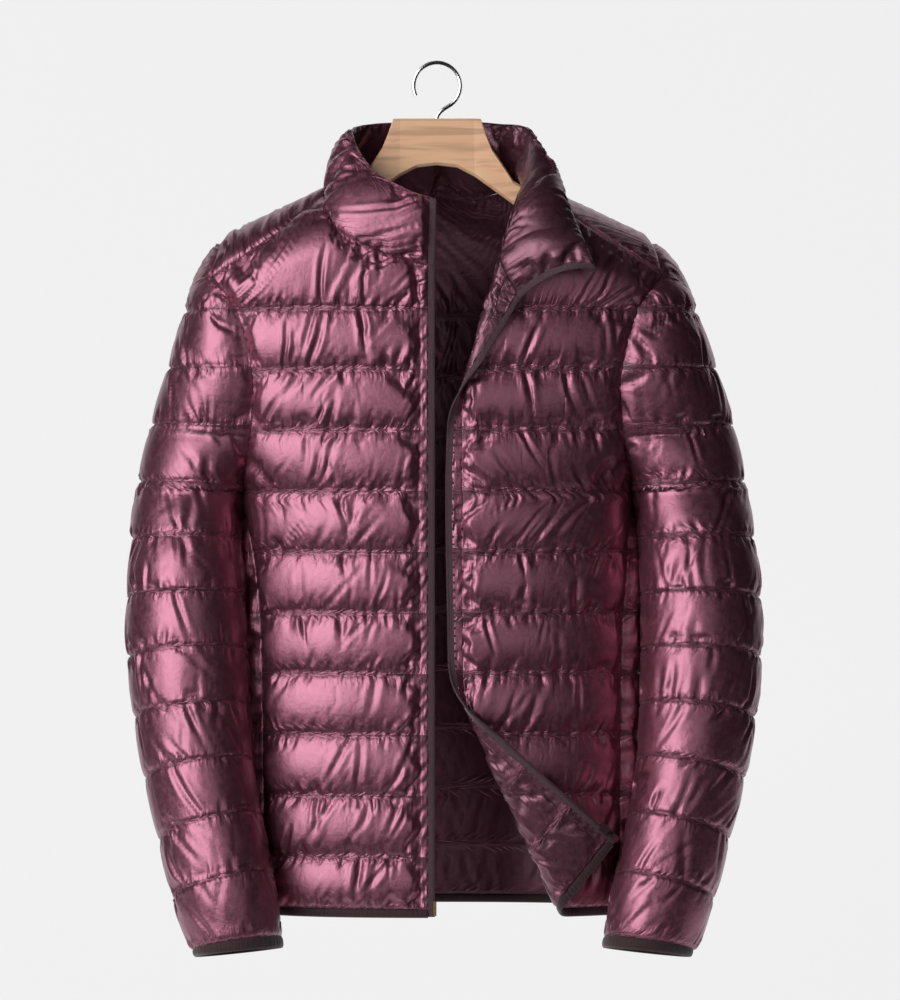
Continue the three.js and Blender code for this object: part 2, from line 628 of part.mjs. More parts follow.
function collarGrid(neck) {
  const feet = [];
  for (let k = 0; k < neck.length - 1; k++)
    for (let t = 0; t < 1; t += 1 / COLLAR_PER_COLUMN) {
      const next = neck[k + 1];
      feet.push({ p: neck[k].p.clone().lerp(next.p, t), away: neck[k].away.clone().lerp(next.away, t) });
    }
  feet.push(neck.at(-1));
  const run = [0];
  for (let k = 1; k < feet.length; k++) run.push(run[k - 1] + feet[k].p.distanceTo(feet[k - 1].p));
  const rows = [...Array(COLLAR_STEPS + 1)].map(() => []);
  feet.forEach(({ p, away }, k) => {
    const at = run[k] / run.at(-1);
    const upper = V(...["x", "y", "z"].map((key) => column(COLLAR_TOP, key, at, "at")));
    const creased = smooth((at - 0.55) / 0.1) * (1 - smooth((at - 0.85) / 0.1)); // where it folds over
    const foot = p.clone().addScaledVector(away, SEAM_GAP + COLLAR_CREASE * creased);
    const aside = V(foot.x + 14, foot.y, 0).normalize();
    const roll = smooth((at - 0.66) / 0.14);
    const knee = foot.clone().lerp(upper, 0.5).addScaledVector(aside, COLLAR_STAND * (1 - roll));
    knee.z += COLLAR_ROLL * roll;
    knee.y -= COLLAR_ROLL * 0.5 * roll;
    for (let j = 0; j <= COLLAR_STEPS; j++) {
      const t = j / COLLAR_STEPS;
      rows[j].push(bent(foot, knee, upper, t));
    }
  });
  return rows;
}

function collarSolid(grid) {
  const rows = grid.map((row) => [...row].reverse());
  const share = loftShares(grid[0]).reverse();
  const last = rows[0].length - 1;
  const swell = (j, i) => channel(j / COLLAR_STEPS) * share[i];
  const laid = (i) => mix(1, 0.45, smooth((0.45 - i / last) / 0.15)); // the turned-down end is flatter
  const shell = (j, i) => (j === 0 || i === 0 || i === last ? EDGE_WALL : 1.6);
  return wall(
    rows,
    (j, i) => shell(j, i) + COLLAR_LOFT.outside * swell(j, i) * laid(i),
    (j, i) => shell(j, i) + COLLAR_LOFT.inside * swell(j, i),
  );
}

// Trims
function hemRow(z) {
  const right = frontRow(z, RIGHT.edge(z), -1, 10, 1);
  const left = frontRow(z, LEFT.edge(z), 1, 20, 1).map((p) => leftPlace(p.x, p.z)).reverse();
  return [...right, ...backRow(z), ...left];
}
function hemSolid() {
  return wall([HEM_LINE - SEAM_GAP, HEM_LINE - SEAM_GAP - HEM_BINDING].map(hemRow), () => 1.4, () => 1.4);
}

// A ribbon beside a front edge, from the hem up to the collar's top. Each end of a row is {edge, next}.
function tapeGrid(pairs) {
  return [SEAM_GAP * 0.6, TAPE_WIDTH].map((reach) =>
    pairs.map(([edge, next]) => edge.clone().addScaledVector(edge.clone().sub(next).normalize(), reach)));
}
function edgePairs(side, place, grid, collar, end, beside) {
  const bottom = HEM_LINE - SEAM_GAP - HEM_BINDING + 1;
  const below = steps(8).slice(0, -1).map((t) => {
    const z = mix(bottom, HEM_LINE, t);
    return [0, 2].map((inset) => place(side.edge(z) + side.s * inset, z));
  });
  const rising = [...grid].reverse().map((row) => [row[0], row[1]]);
  return [...below, ...rising, ...collar.map((row) => [row[end], row[beside]])];
}

const group = new THREE.Group();
const cloth = new THREE.MeshStandardMaterial({ color: 0x5a2338, roughness: 0.38, metalness: 0.2 });
const binding = new THREE.MeshStandardMaterial({ color: 0x4a1a2a, roughness: 0.7, metalness: 0 });
const tape = new THREE.MeshStandardMaterial({ color: 0x5b3a47, roughness: 0.75, metalness: 0 });
const zipMetal = new THREE.MeshStandardMaterial({ color: 0x6d5560, roughness: 0.4, metalness: 0.6 });
const beech = new THREE.MeshStandardMaterial({ color: 0xe3ae7c, roughness: 0.5, metalness: 0 });
const steel = new THREE.MeshStandardMaterial({ color: 0xc8c8ca, roughness: 0.25, metalness: 1 });

function add(name, geometry, material) {
  const mesh = new THREE.Mesh(geometry, material);
  mesh.name = name;
  group.add(mesh);
  return mesh;
}

// Mirrors a solid to the other side of the centre plane.
function mirrored(geometry) {
  const copy = geometry.clone();
  copy.scale(-1, 1, 1);
  const at = copy.getAttribute("position");
  for (let i = 0; i < at.count; i += 3) {
    const [b, c] = [V(0, 0, 0).fromBufferAttribute(at, i + 1), V(0, 0, 0).fromBufferAttribute(at, i + 2)];
    at.setXYZ(i + 1, ...c.toArray());
    at.setXYZ(i + 2, ...b.toArray());
  }
  copy.computeVertexNormals();
  return copy;
}

// Cloth
const rightGrid = frontRows(RIGHT, rightPlace);
const leftGrid = frontRows(LEFT, leftPlace);
const backGrid = backRows();
const neckGrid = collarGrid(neckPoints(rightGrid, backGrid, leftGrid));
const outward = (rows) => rows.map((row) => [...row].reverse());
const leftOutward = outward(leftGrid);
const pressed = (j) => smooth(j / PRESSED_ROWS); // under the turned-down part of the collar
const backKept = (j, i) => (i > BACK_COLUMNS - SHOULDER_COLUMNS - 3 ? pressed(j) : 1);
const leftKept = (j, i) => {
  const { angle } = leftOutward[j][i];
  return (i > SHOULDER_COLUMNS - 2 ? pressed(j) : 1) * (1 - 0.6 * smooth(angle / 1.5));
};
add("back_panel", quilted(backGrid, backKept), cloth);
add("right_front", quilted(rightGrid), cloth);
add("left_front", quilted(leftOutward, leftKept), cloth);
add("right_sleeve", sleeveSolid(sleeveGrid(rightGrid, backGrid, 0)), cloth);
add("left_sleeve", mirrored(sleeveSolid(sleeveGrid(rightGrid, backGrid, 1))), cloth);
add("collar", collarSolid(neckGrid), cloth);
add("right_cuff", cuffSolid(0), binding);
add("left_cuff", mirrored(cuffSolid(1)), binding);
add("hem_binding", hemSolid(), binding);

// Zip tapes
const lastColumn = neckGrid[0].length - 1;
const rightTape = tapeGrid(edgePairs(RIGHT, rightPlace, rightGrid, neckGrid, 0, 1));
const leftTape = tapeGrid(edgePairs(LEFT, leftPlace, leftGrid, neckGrid, lastColumn, lastColumn - 1));
add("right_zip_tape", wall(rightTape, () => TAPE_WALL, () => TAPE_WALL), tape);
add("left_zip_tape", wall(leftTape, () => TAPE_WALL, () => TAPE_WALL), tape);

// Zip metal
const wasm = await Module();
wasm.setup();
function toSolid(geometry) {
  const bare = geometry.index ? geometry.toNonIndexed() : geometry.clone();
  bare.deleteAttribute("normal");
  bare.deleteAttribute("uv");
  const merged = mergeVertices(bare, 1e-4);
  const vertProperties = merged.getAttribute("position").array;
  const triVerts = new Uint32Array(merged.index.array);
  return new wasm.Manifold(new wasm.Mesh({ numProp: 3, vertProperties, triVerts }));
}
function fromSolid(solid) {
  const mesh = solid.getMesh();
  const geometry = new THREE.BufferGeometry();
  geometry.setAttribute("position", new THREE.BufferAttribute(new Float32Array(mesh.vertProperties), 3));
  geometry.setIndex([...mesh.triVerts]);
  const flat = geometry.toNonIndexed();
  flat.computeVertexNormals();
  return flat;
}
function extruded(points, from, to) {
  const outline = (pairs) => new THREE.Shape(pairs.map(([x, y]) => new THREE.Vector2(x, y)));
  const shape = points instanceof THREE.Shape ? points : outline(points);
  const options = { depth: to - from, bevelEnabled: false, curveSegments: 8 };
  return new THREE.ExtrudeGeometry(shape, options).translate(0, 0, from);
}
// Turns a profile drawn across the tape, as width and height, into a bar that runs along the tape.
const alongTape = (profile, length) => extruded(profile, -length / 2, length / 2).rotateX(Math.PI / 2);
// Turns a profile drawn beside the tape, as length and height, into a plate that spans the tape's width.
const acrossTape = (shape, width) =>
  extruded(shape, -width / 2, width / 2).rotateY(Math.PI / 2).rotateX(Math.PI / 2);

// The frame of a piece on a tape's outer edge: x leaves the cloth, y runs down the zip, z follows.
function tapeFrame(tapeRows, fromEnd, rise = 0) {
  const edge = tapeRows[1];
  let k = 1;
  let run = 0;
  while (run + edge[k].distanceTo(edge[k - 1]) < fromEnd) {
    run += edge[k].distanceTo(edge[k - 1]);
    k++;
  }
  const down = edge[k - 1].clone().sub(edge[k]).normalize();
  const origin = edge[k - 1].clone().addScaledVector(down, run - fromEnd);
  const across = edge[k].clone().sub(tapeRows[0][k]);
  across.addScaledVector(down, -across.dot(down)).normalize();
  const out = across.clone().cross(down);
  origin.addScaledVector(out, rise);
  return new THREE.Matrix4().makeBasis(across, down, out).setPosition(origin);
}
const clasp = ({ from, to, half }) => [
  [from, -half], [to, -half], [to, half], [from, half],
  [from, SLOT], [0.35, SLOT], [0.35, -SLOT], [from, -SLOT],
];

const sliderHalf = SLIDER.width / 2;
const [webFrom, webTo] = SLIDER.web;
const sliderBody = alongTape([
  [-sliderHalf, -SLIDER.half], [sliderHalf, -SLIDER.half], [sliderHalf, -SLOT], [webTo, -SLOT],
  [webTo, SLOT], [sliderHalf, SLOT], [sliderHalf, SLIDER.half], [-sliderHalf, SLIDER.half],
  [-sliderHalf, SLOT], [webFrom, SLOT], [webFrom, -SLOT], [-sliderHalf, -SLOT],
], SLIDER.length);
const crownOutline = new THREE.Shape();
crownOutline.moveTo(-CROWN.radius, -0.4);
crownOutline.lineTo(CROWN.radius, -0.4);
crownOutline.lineTo(CROWN.radius, CROWN.height - CROWN.radius);
crownOutline.absarc(0, CROWN.height - CROWN.radius, CROWN.radius, 0, Math.PI, false);
const crownHole = new THREE.Path();
crownHole.absarc(0, CROWN.axis, CROWN.hole, 0, 2 * Math.PI, true);
crownOutline.holes.push(crownHole);
const crown = acrossTape(crownOutline, CROWN.width).translate(0, 0, SLIDER.half);
add("zip_slider", fromSolid(toSolid(sliderBody).add(toSolid(crown))), zipMetal)
  .applyMatrix4(tapeFrame(leftTape, SLIDER.fromEnd));

const pullPlate = new THREE.Shape();
const [pullHalf, windowHalf] = [PULL.width / 2, PULL.window / 2];
pullPlate.moveTo(-pullHalf, 0);
pullPlate.lineTo(-windowHalf, 0);
pullPlate.lineTo(-windowHalf, PULL.plateFrom);
pullPlate.lineTo(windowHalf, PULL.plateFrom);
pullPlate.lineTo(windowHalf, 0);
pullPlate.lineTo(pullHalf, 0);
pullPlate.lineTo(pullHalf, PULL.length - pullHalf);
pullPlate.absarc(0, PULL.length - pullHalf, pullHalf, 0, Math.PI, false);
const pullHole = new THREE.Path();
pullHole.absarc(0, PULL.length - pullHalf, PULL.hole, 0, 2 * Math.PI, true);
pullPlate.holes.push(pullHole);
const pullBar = new THREE.CylinderGeometry(PULL.bar, PULL.bar, PULL.width, 12).rotateZ(Math.PI / 2);
const pull = toSolid(extruded(pullPlate, -PULL.thick / 2, PULL.thick / 2)).add(toSolid(pullBar));
add("zip_pull", fromSolid(pull), zipMetal)
  .applyMatrix4(tapeFrame(leftTape, SLIDER.fromEnd, SLIDER.half + CROWN.axis));

add("zip_retainer", alongTape(clasp(RETAINER), RETAINER.length), zipMetal)
  .applyMatrix4(tapeFrame(leftTape, RETAINER.fromEnd));
add("zip_pin", alongTape(clasp(PIN), PIN.length), zipMetal)
  .applyMatrix4(tapeFrame(rightTape, PIN.fromEnd));

// Hanger
function woodRing({ x, top, bottom, y, thick }) {
  const [h, c] = [thick / 2, WOOD_CHAMFER];
  const section = [
    [-h, top - c], [-h + c, top], [h - c, top], [h, top - c],
    [h, bottom + c], [h - c, bottom], [-h + c, bottom], [-h, bottom + c],
  ];
  return section.map(([across, z]) => V(x, y + across, z));
}
function lofted(rings) {
  const m = rings[0].length;
  const faces = [];
  for (let k = 0; k < rings.length - 1; k++)
    for (let i = 0; i < m; i++) {
      const [a, b] = [k * m + i, k * m + ((i + 1) % m)];
      faces.push([a, a + m, b + m], [a, b + m, b]);
    }
  const end = (rings.length - 1) * m;
  for (let i = 1; i < m - 1; i++) faces.push([0, i, i + 1], [end, end + i + 1, end + i]);
  return faceted(rings.flat(), faces);
}
const woodSections = [...WOOD.slice(1).reverse().map((row) => ({ ...row, x: -row.x })), ...WOOD];
const top = WOOD[0].top;
const bore = new THREE.CylinderGeometry(WIRE_RADIUS + BORE_GAP, WIRE_RADIUS + BORE_GAP, BORE_DEPTH * 2, 16);
bore.rotateX(Math.PI / 2).translate(0, 0, top);
add("hanger_body", fromSolid(toSolid(lofted(woodSections.map(woodRing))).subtract(toSolid(bore))), beech);

const bendRadius = HOOK_RADIUS + WIRE_RADIUS;
const bend = [];
for (let k = 0; k <= 22; k++) {
  const a = THREE.MathUtils.degToRad(mix(HOOK_FROM, HOOK_TO, k / 22));
  bend.push(V(bendRadius * Math.cos(a), 0, -HOOK_RADIUS + bendRadius * Math.sin(a)));
}
const shank = [V(0, 0, top - BORE_DEPTH + BORE_GAP), V(0, 0, top - 5), V(0, 0, top + 2), V(4.5, 0, top + 8)];
const wirePath = new THREE.CatmullRomCurve3([...shank, ...bend], false, "centripetal");
const wireSection = new THREE.Shape([...Array(WIRE_SIDES).keys()].map((k) => {
  const a = (2 * Math.PI * k) / WIRE_SIDES;
  return new THREE.Vector2(WIRE_RADIUS * Math.cos(a), WIRE_RADIUS * Math.sin(a));
}));
const wire = new THREE.ExtrudeGeometry(wireSection, { steps: 40, extrudePath: wirePath });
add("hanger_hook", wire, steel);

export default group;
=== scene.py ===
"""Puffer jacket hung open on a wooden hanger: cloth, trims, hanger and stage.

Lengths in the tables are in millimetres, in the frame of the CAD part: +Z up, the wearer's front
towards -Y, and the origin where the hook bears on its rail. Meshes are made in metres.
"""

import math

import bmesh
import bpy
import numpy as np
from mathutils import Matrix, Vector


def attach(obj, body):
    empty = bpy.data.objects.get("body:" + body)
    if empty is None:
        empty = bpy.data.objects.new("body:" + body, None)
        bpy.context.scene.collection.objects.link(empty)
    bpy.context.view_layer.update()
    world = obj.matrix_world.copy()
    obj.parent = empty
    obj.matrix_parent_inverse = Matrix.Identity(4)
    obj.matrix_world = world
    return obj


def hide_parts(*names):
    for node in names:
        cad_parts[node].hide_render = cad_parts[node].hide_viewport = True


bl_info = {
    "name": "Puffer Jacket on a Hanger",
    "version": (1, 0, 0),
    "blender": (4, 5, 0),
    "location": "View3D > Sidebar > Jacket",
    "description": "Quilted jacket with its zip, bindings and wooden hanger",
    "category": "Add Mesh",
}

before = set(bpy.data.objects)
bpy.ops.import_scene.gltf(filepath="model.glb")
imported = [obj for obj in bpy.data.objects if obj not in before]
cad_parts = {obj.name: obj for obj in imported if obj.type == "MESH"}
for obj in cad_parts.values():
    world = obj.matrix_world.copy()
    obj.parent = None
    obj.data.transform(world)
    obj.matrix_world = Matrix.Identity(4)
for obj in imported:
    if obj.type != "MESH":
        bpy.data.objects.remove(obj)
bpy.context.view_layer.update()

MM = 0.001

# ---------------------------------------------------------------- driving dimensions (mm)
WALL = 1.0
SEAM_GAP = -0.2  # edges meet inside their seams
LOFT_START = 16
HEM_LINE = -821.5
HEM_BINDING = 8.5
CUFF_BINDING = 9
CUFF_Z = -853

FIRST_LINE = -244
BODY_LINE_STEP = 58.6
BODY_CHANNELS = 10
ARMHOLE_CHANNELS = 3
SLEEVE_LINE_STEP = 55.5
SLEEVE_CHANNELS = 8
ROWS_PER_CHANNEL = 16
YOKE_ROWS = 30
CAP_ROWS = 9
UNDERARM_Z = FIRST_LINE - ARMHOLE_CHANNELS * BODY_LINE_STEP

NECK_SIDE_X = 113
NECK_SIDE_Z = -129
SHOULDER_SLOPE = 0.497
SHOULDER_X = 218
ROUND_AT_NECK = 85
ROUND_AT_SHOULDER = 52

OVAL_POWER = 2.4
# height, half width, depth in front, depth behind
BODY = (
    (-60, 262, 92, 82), (-200, 258, 95, 88), (-250, 250, 98, 92), (-300, 236, 100, 95),
    (-365.6, 212, 101, 96), (-400, 198, 101, 96), (-424.2, 190, 101, 96), (-450, 187, 101, 96),
    (-500, 185, 100, 96), (-600, 185, 100, 96), (-700, 186, 100, 95), (-850, 189, 100, 94),
)
LEFT_WIDER = (9, 90)
# height, distance from the centre
ARMHOLE = ((-248.4, 193), (-275, 184), (-310, 178), (-350, 179), (-385, 184), (-410, 189), (-424.2, 190))
SIDE_SEAM = ((-424.2, 190), (-445, 186), (-470, 180), (-510, 174), (-560, 170), (-700, 168), (-850, 168))
RIGHT_EDGE_X = -8.6
LEFT_EDGE = ((-200, 20), (-330, 17), (-424, 14.5), (-600, 17), (-850, 17))
RIGHT_NECKLINE = (
    (-109.5, -147.5), (-107.9, -150.5), (-96.9, -166.8), (-77.7, -180.2), (-51.8, -191.8),
    (-24.9, -199.4), (RIGHT_EDGE_X, -203.5),
)
LEFT_NECKLINE = (
    (82.6, -126.4), (71, -135), (66.3, -149.5), (63.4, -171.6), (55.7, -192.7), (38.4, -204.2), (20, -213),
)
# x, z, side
BACK_NECKLINE = (
    (-109.5, -147.5, -1), (-105, -127.5, 1), (-92, -131, 1), (-67, -132, 1), (-14, -132, 1),
    (38, -129, 1), (65, -122, 1), (78, -113.5, 1), (82.6, -126.4, -1),
)
# Roll lines, where the wearer's left front is turned back: from, to, radius, turn
LAPEL = ((71, -183.1), (17.3, -365.5), 7, math.pi)
CORNER = ((36.5, -615.1), (129.6, -816.7), 14, 2.79)
# height, outer, inner, middle's y, depth, left sleeve further out on its outer and inner side
SLEEVE = (
    (-424.2, 288, 191.8, -3, 62, 9, 0), (-450, 291, 193, -14, 62, 10, 4), (-507, 294, 190, -34, 61, 13, 10),
    (-586, 292, 185.5, -48, 59, 15, 15), (-673, 279, 181, -64, 55, 15, 16), (-721, 267, 175, -75, 52, 14, 16),
    (-769, 255, 166, -87, 49, 13, 15), (-817, 242, 156, -99, 46, 12, 13), (-863, 231, 148, -109, 41, 11, 11),
)
# height, outer, left sleeve further out
SLEEVE_CAP = ((-236, 242, 7), (-284, 253, 10), (-313, 261, 10), (-371, 277, 10), (-424.2, 288, 9))
# share of the neck seam, x, y, z of the top edge
COLLAR_TOP = (
    (0, -7, -92, -137), (0.045, -25, -88, -131), (0.1, -46, -78, -119.6), (0.14, -60, -65, -109.8),
    (0.2, -74, -42, -90.6), (0.25, -82, -16, -72.7), (0.3, -80.7, 10, -61.5), (0.37, -62, 38, -55),
    (0.44, -33.8, 57, -51.8), (0.5, -3, 63, -50.9), (0.57, 33.8, 56, -51.3), (0.64, 62.4, 37, -55.2),
    (0.7, 86.6, 10, -60.6), (0.745, 98.9, -14, -78.2), (0.79, 111, -38, -103.8), (0.84, 122, -62, -129.8),
    (0.885, 129, -84, -148.8), (0.955, 141.7, -112, -182.6), (1, 150, -122, -204.2),
)
COLLAR_ROWS = 26
COLLAR_LOFT = (6.5, 4.5)

# Creases: one for so much of a channel's width, with their width, their depth and the share of it on each side
CREASE_PITCH = 9.0
CREASE_WIDTH = (1.5, 3.6)
CREASE_DEPTH = (0.6, 2.3)
CREASE_SHARE = {1: 1.0, -1: 0.6}
PUCKER_WAVES = 16
# How much rounder the pieces are where they lean on each other: the back, and a sleeve next to the body and away
BACK_ROUNDER = 6
SLEEVE_ROUNDER = (1.5, 4.0)

# Columns of the panels' grids: across a shoulder, and along each piece's part of the neck
SHOULDER_COLUMNS = 84
RIGHT_NECK_COLUMNS = 56
LEFT_NECK_COLUMNS = 96
BACK_SHOULDER_COLUMNS = 42
BACK_NECK_COLUMNS = 116
SLEEVE_COLUMNS = 190
BACK_SHARE = (0.17, 0.205)
FACING_COLUMN = 17  # of the left front: the stitch line beside its zip
STRIP_COLUMN = 6  # of the right front: the stitch line beside its zip

# Height of the shell and lining over the middle surface, along seams and along stitch lines
EDGE = 0.6
SEWN = 0.5
PRESSED_SHARE = 0.5  # of the yoke's rows that the turned-down collar presses flat

TAPE_WIDTH = 6.5
TAPE_WALL = 0.8
TAPE_REACHES = (-1.6, 0.2, 1.8, 3.4, 5.0, TAPE_WIDTH)  # past the front edge, from under the panel outwards


# ---------------------------------------------------------------- number tools
def clamp(t):
    return np.clip(t, 0.0, 1.0)


def smooth(t):
    t = clamp(t)
    return t * t * (3 - 2 * t)


def mix(a, b, t):
    return a + (b - a) * t


def column(table, k, at, by=0):
    """A smooth curve through column k of a table, by another column."""
    order = sorted(table, key=lambda row: row[by])
    x = np.array([row[by] for row in order], float)
    y = np.array([row[k] for row in order], float)
    low, high = np.maximum(np.arange(len(x)) - 1, 0), np.minimum(np.arange(len(x)) + 1, len(x) - 1)
    slope = (y[high] - y[low]) / (x[high] - x[low])
    at = np.clip(np.asarray(at, float), x[0], x[-1])
    i = np.clip(np.searchsorted(x, at, side="right") - 1, 0, len(x) - 2)
    span = x[i + 1] - x[i]
    t = (at - x[i]) / span
    return (
        (2 * t**3 - 3 * t**2 + 1) * y[i] + (t**3 - 2 * t**2 + t) * slope[i] * span
        + (3 * t**2 - 2 * t**3) * y[i + 1] + (t**3 - t**2) * slope[i + 1] * span
    )


def lengths(line):
    """Distance along a line of points to each of them."""
    return np.concatenate([[0], np.cumsum(np.linalg.norm(np.diff(line, axis=0), axis=1))])


def at_shares(line, shares):
    """Points along a line of points, at the given shares of its length."""
    run = lengths(line)
    return np.stack([np.interp(np.asarray(shares) * run[-1], run, line[:, k]) for k in range(line.shape[1])], 1)


def steps(n, power=1.0):
    return (np.arange(n + 1) / n) ** power


# ---------------------------------------------------------------- body surface
def ridge(x):
    return NECK_SIDE_Z - SHOULDER_SLOPE * (np.abs(x) - NECK_SIDE_X)


def rounding(x):
    return mix(ROUND_AT_NECK, ROUND_AT_SHOULDER, clamp(np.abs(x) / SHOULDER_X))


def wider(z, s):
    by, over = LEFT_WIDER
    return np.where(np.asarray(s) > 0, by * smooth((UNDERARM_Z - z) / over), 0)


def half_width(z, s):
    return column(BODY, 1, z) + wider(z, s)


def body_depth(x, z, side):
    share = clamp(np.abs(x) / half_width(z, np.sign(x)))
    deep = np.where(np.asarray(side) < 0, column(BODY, 2, z), column(BODY, 3, z))
    near = clamp((ridge(x) - z) / rounding(x))
    return side * deep * (1 - share**OVAL_POWER) ** (1 / OVAL_POWER) * np.sqrt(1 - (1 - near) ** 2)


def on_body(x, z, side):
    x, z = np.broadcast_arrays(np.asarray(x, float), np.asarray(z, float))
    return np.stack([x, body_depth(x, z, side), z], -1)


def over_ridge(x, z, side):
    """Distance over the rounded shoulder from the ridge."""
    bend = rounding(x)
    drop = np.maximum(0, ridge(x) - z)
    near = bend * np.arccos(np.clip(1 - drop / bend, -1, 1))
    return side * np.where(drop < bend, near, bend * np.pi / 2 + drop - bend)


def from_ridge(x, q):
    bend = rounding(x)
    angle = np.abs(q) / bend
    drop = np.where(angle < np.pi / 2, bend * (1 - np.cos(angle)), np.abs(q) - bend * np.pi / 2 + bend)
    return on_body(x, ridge(x) - drop, np.where(q < 0, -1.0, 1.0))


def turned(x, z, roll):
    """Turns cloth that lies past a roll line round that line."""
    (ax, az), to, radius, turn = roll
    along = np.array([to[0] - ax, to[1] - az], float)
    along /= np.linalg.norm(along)
    out_x, out_z = along[1], -along[0]
    past = (x - ax) * out_x + (z - az) * out_z
    angle = np.clip(past / radius, 0, turn)
    rest = np.maximum(past - angle * radius, 0)
    across = np.where(past > 0, radius * np.sin(angle) + rest * np.cos(angle), past)
    lift = np.where(past > 0, radius * (1 - np.cos(angle)) + rest * np.sin(angle), 0)
    return x + out_x * (across - past), z + out_z * (across - past), lift, angle


def left_place(x, z):
    x, z = np.broadcast_arrays(np.asarray(x, float), np.asarray(z, float))
    upper = z > (LAPEL[1][1] + CORNER[0][1]) / 2
    parts = [np.where(upper, a, b) for a, b in zip(turned(x, z, LAPEL), turned(x, z, CORNER))]
    points = on_body(parts[0], parts[1], -1)
    points[..., 1] -= parts[2]
    return points, parts[3]


def right_place(x, z):
    return on_body(x, z, -1), np.zeros(np.shape(x))


# ---------------------------------------------------------------- rows of the grids
def channel_rows(count, heights):
    return np.interp(np.arange(count * ROWS_PER_CHANNEL + 1) / ROWS_PER_CHANNEL, range(count + 1), heights)


def body_levels():
    """Height of each level row of the body, with a stitch line at each whole channel."""
    heights = [FIRST_LINE - BODY_LINE_STEP * k for k in range(BODY_CHANNELS)] + [HEM_LINE]
    return channel_rows(BODY_CHANNELS, heights)


def sleeve_levels():
    count = ARMHOLE_CHANNELS + SLEEVE_CHANNELS
    lines = [FIRST_LINE - SLEEVE_LINE_STEP * k for k in range(count)] + [CUFF_Z]
    return channel_rows(count, lines)


def edge_x(z, s):
    return np.where(np.asarray(z) > UNDERARM_Z, column(ARMHOLE, 1, z), column(SIDE_SEAM, 1, z)) + wider(z, s)


def shoulder_seam(s, neck):
    """The shoulder seam from the armhole in to the neck, as x and z."""
    t = steps(24)
    x = mix(SHOULDER_X, abs(neck[0]), t)
    below = 12.5 + (x - NECK_SIDE_X) * 0.17
    return np.stack([s * x, mix(ridge(x) - below, neck[1], smooth((t - 0.6) / 0.4))], 1)


def unrolled(line, side):
    line = np.asarray(line, float)
    return np.stack([line[:, 0], over_ridge(line[:, 0], line[:, 1], side)], 1)


def front_row(z, start, s, shares):
    half = float(half_width(z, s))
    angles = [math.asin(max(-1, min(1, x / half))) for x in (s * start, float(edge_x(z, s)) - SEAM_GAP / 2)]
    line = on_body(s * half * np.sin(mix(angles[0], angles[1], steps(90))), z, -1)
    return at_shares(line, shares)


def front_grid(s, edge, neckline, neck_columns, power, place):
    """A front's middle surface from its front edge to its side, and how far each point is turned."""
    shares = steps(neck_columns + SHOULDER_COLUMNS, power)
    seam = shoulder_seam(s, neckline[0])[::-1]
    top = np.concatenate([
        at_shares(unrolled(neckline[::-1], -1), steps(neck_columns)),
        at_shares(unrolled(seam, -1), steps(SHOULDER_COLUMNS))[1:],
    ])
    first = front_row(FIRST_LINE, float(edge(FIRST_LINE)), s, shares)
    first = unrolled(first[:, [0, 2]], -1)
    rows = []
    for k in range(YOKE_ROWS):
        m = mix(top, first, k / YOKE_ROWS)
        p = from_ridge(m[:, 0], m[:, 1])
        rows.append(place(p[:, 0], p[:, 2]))
    for z in body_levels():
        p = front_row(z, float(edge(z)), s, shares)
        rows.append(place(p[:, 0], p[:, 2]))
    return np.array([row[0] for row in rows]), np.array([row[1] for row in rows])


def back_shares():
    right, left = BACK_SHARE
    return np.concatenate([
        steps(BACK_SHOULDER_COLUMNS) * right,
        mix(right, 1 - left, steps(BACK_NECK_COLUMNS))[1:-1],
        mix(1 - left, 1, steps(BACK_SHOULDER_COLUMNS)),
    ])


def back_row(z, shares):
    halves = []
    for s in (-1, 1):
        width = float(half_width(z, s))
        past = z < UNDERARM_Z
        seam = math.asin(min(1, (float(edge_x(z, s)) + (SEAM_GAP if past else -SEAM_GAP) / 2) / width))
        a = (math.pi - seam if past else seam) * np.arange(1, 121) / 120
        halves.append(on_body(s * width * np.sin(a), z, np.where(a > np.pi / 2, -1.0, 1.0)))
    return at_shares(np.concatenate([halves[0][::-1], on_body([0.0], z, 1), halves[1]]), shares)


def back_grid():
    def seam(s, neck):
        return at_shares(unrolled(shoulder_seam(s, neck), -1), steps(BACK_SHOULDER_COLUMNS))

    shares = back_shares()
    neck = np.array([(x, over_ridge(x, z, side)) for x, z, side in BACK_NECKLINE])
    top = np.concatenate([
        seam(-1, RIGHT_NECKLINE[0])[:-1],
        at_shares(neck, steps(BACK_NECK_COLUMNS)),
        seam(1, LEFT_NECKLINE[0])[:-1][::-1],
    ])
    on_seam = np.arange(len(top))
    on_seam = (on_seam <= BACK_SHOULDER_COLUMNS) | (on_seam >= len(top) - 1 - BACK_SHOULDER_COLUMNS)
    top[:, 1] += SEAM_GAP * on_seam
    first = back_row(FIRST_LINE, shares)
    first = np.stack([first[:, 0], over_ridge(first[:, 0], first[:, 2], 1)], 1)
    rows = []
    for k in range(YOKE_ROWS):
        m = mix(top, first, k / YOKE_ROWS)
        rows.append(from_ridge(m[:, 0], m[:, 1]))
    rows += [back_row(z, shares) for z in body_levels()]
    return np.array(rows)


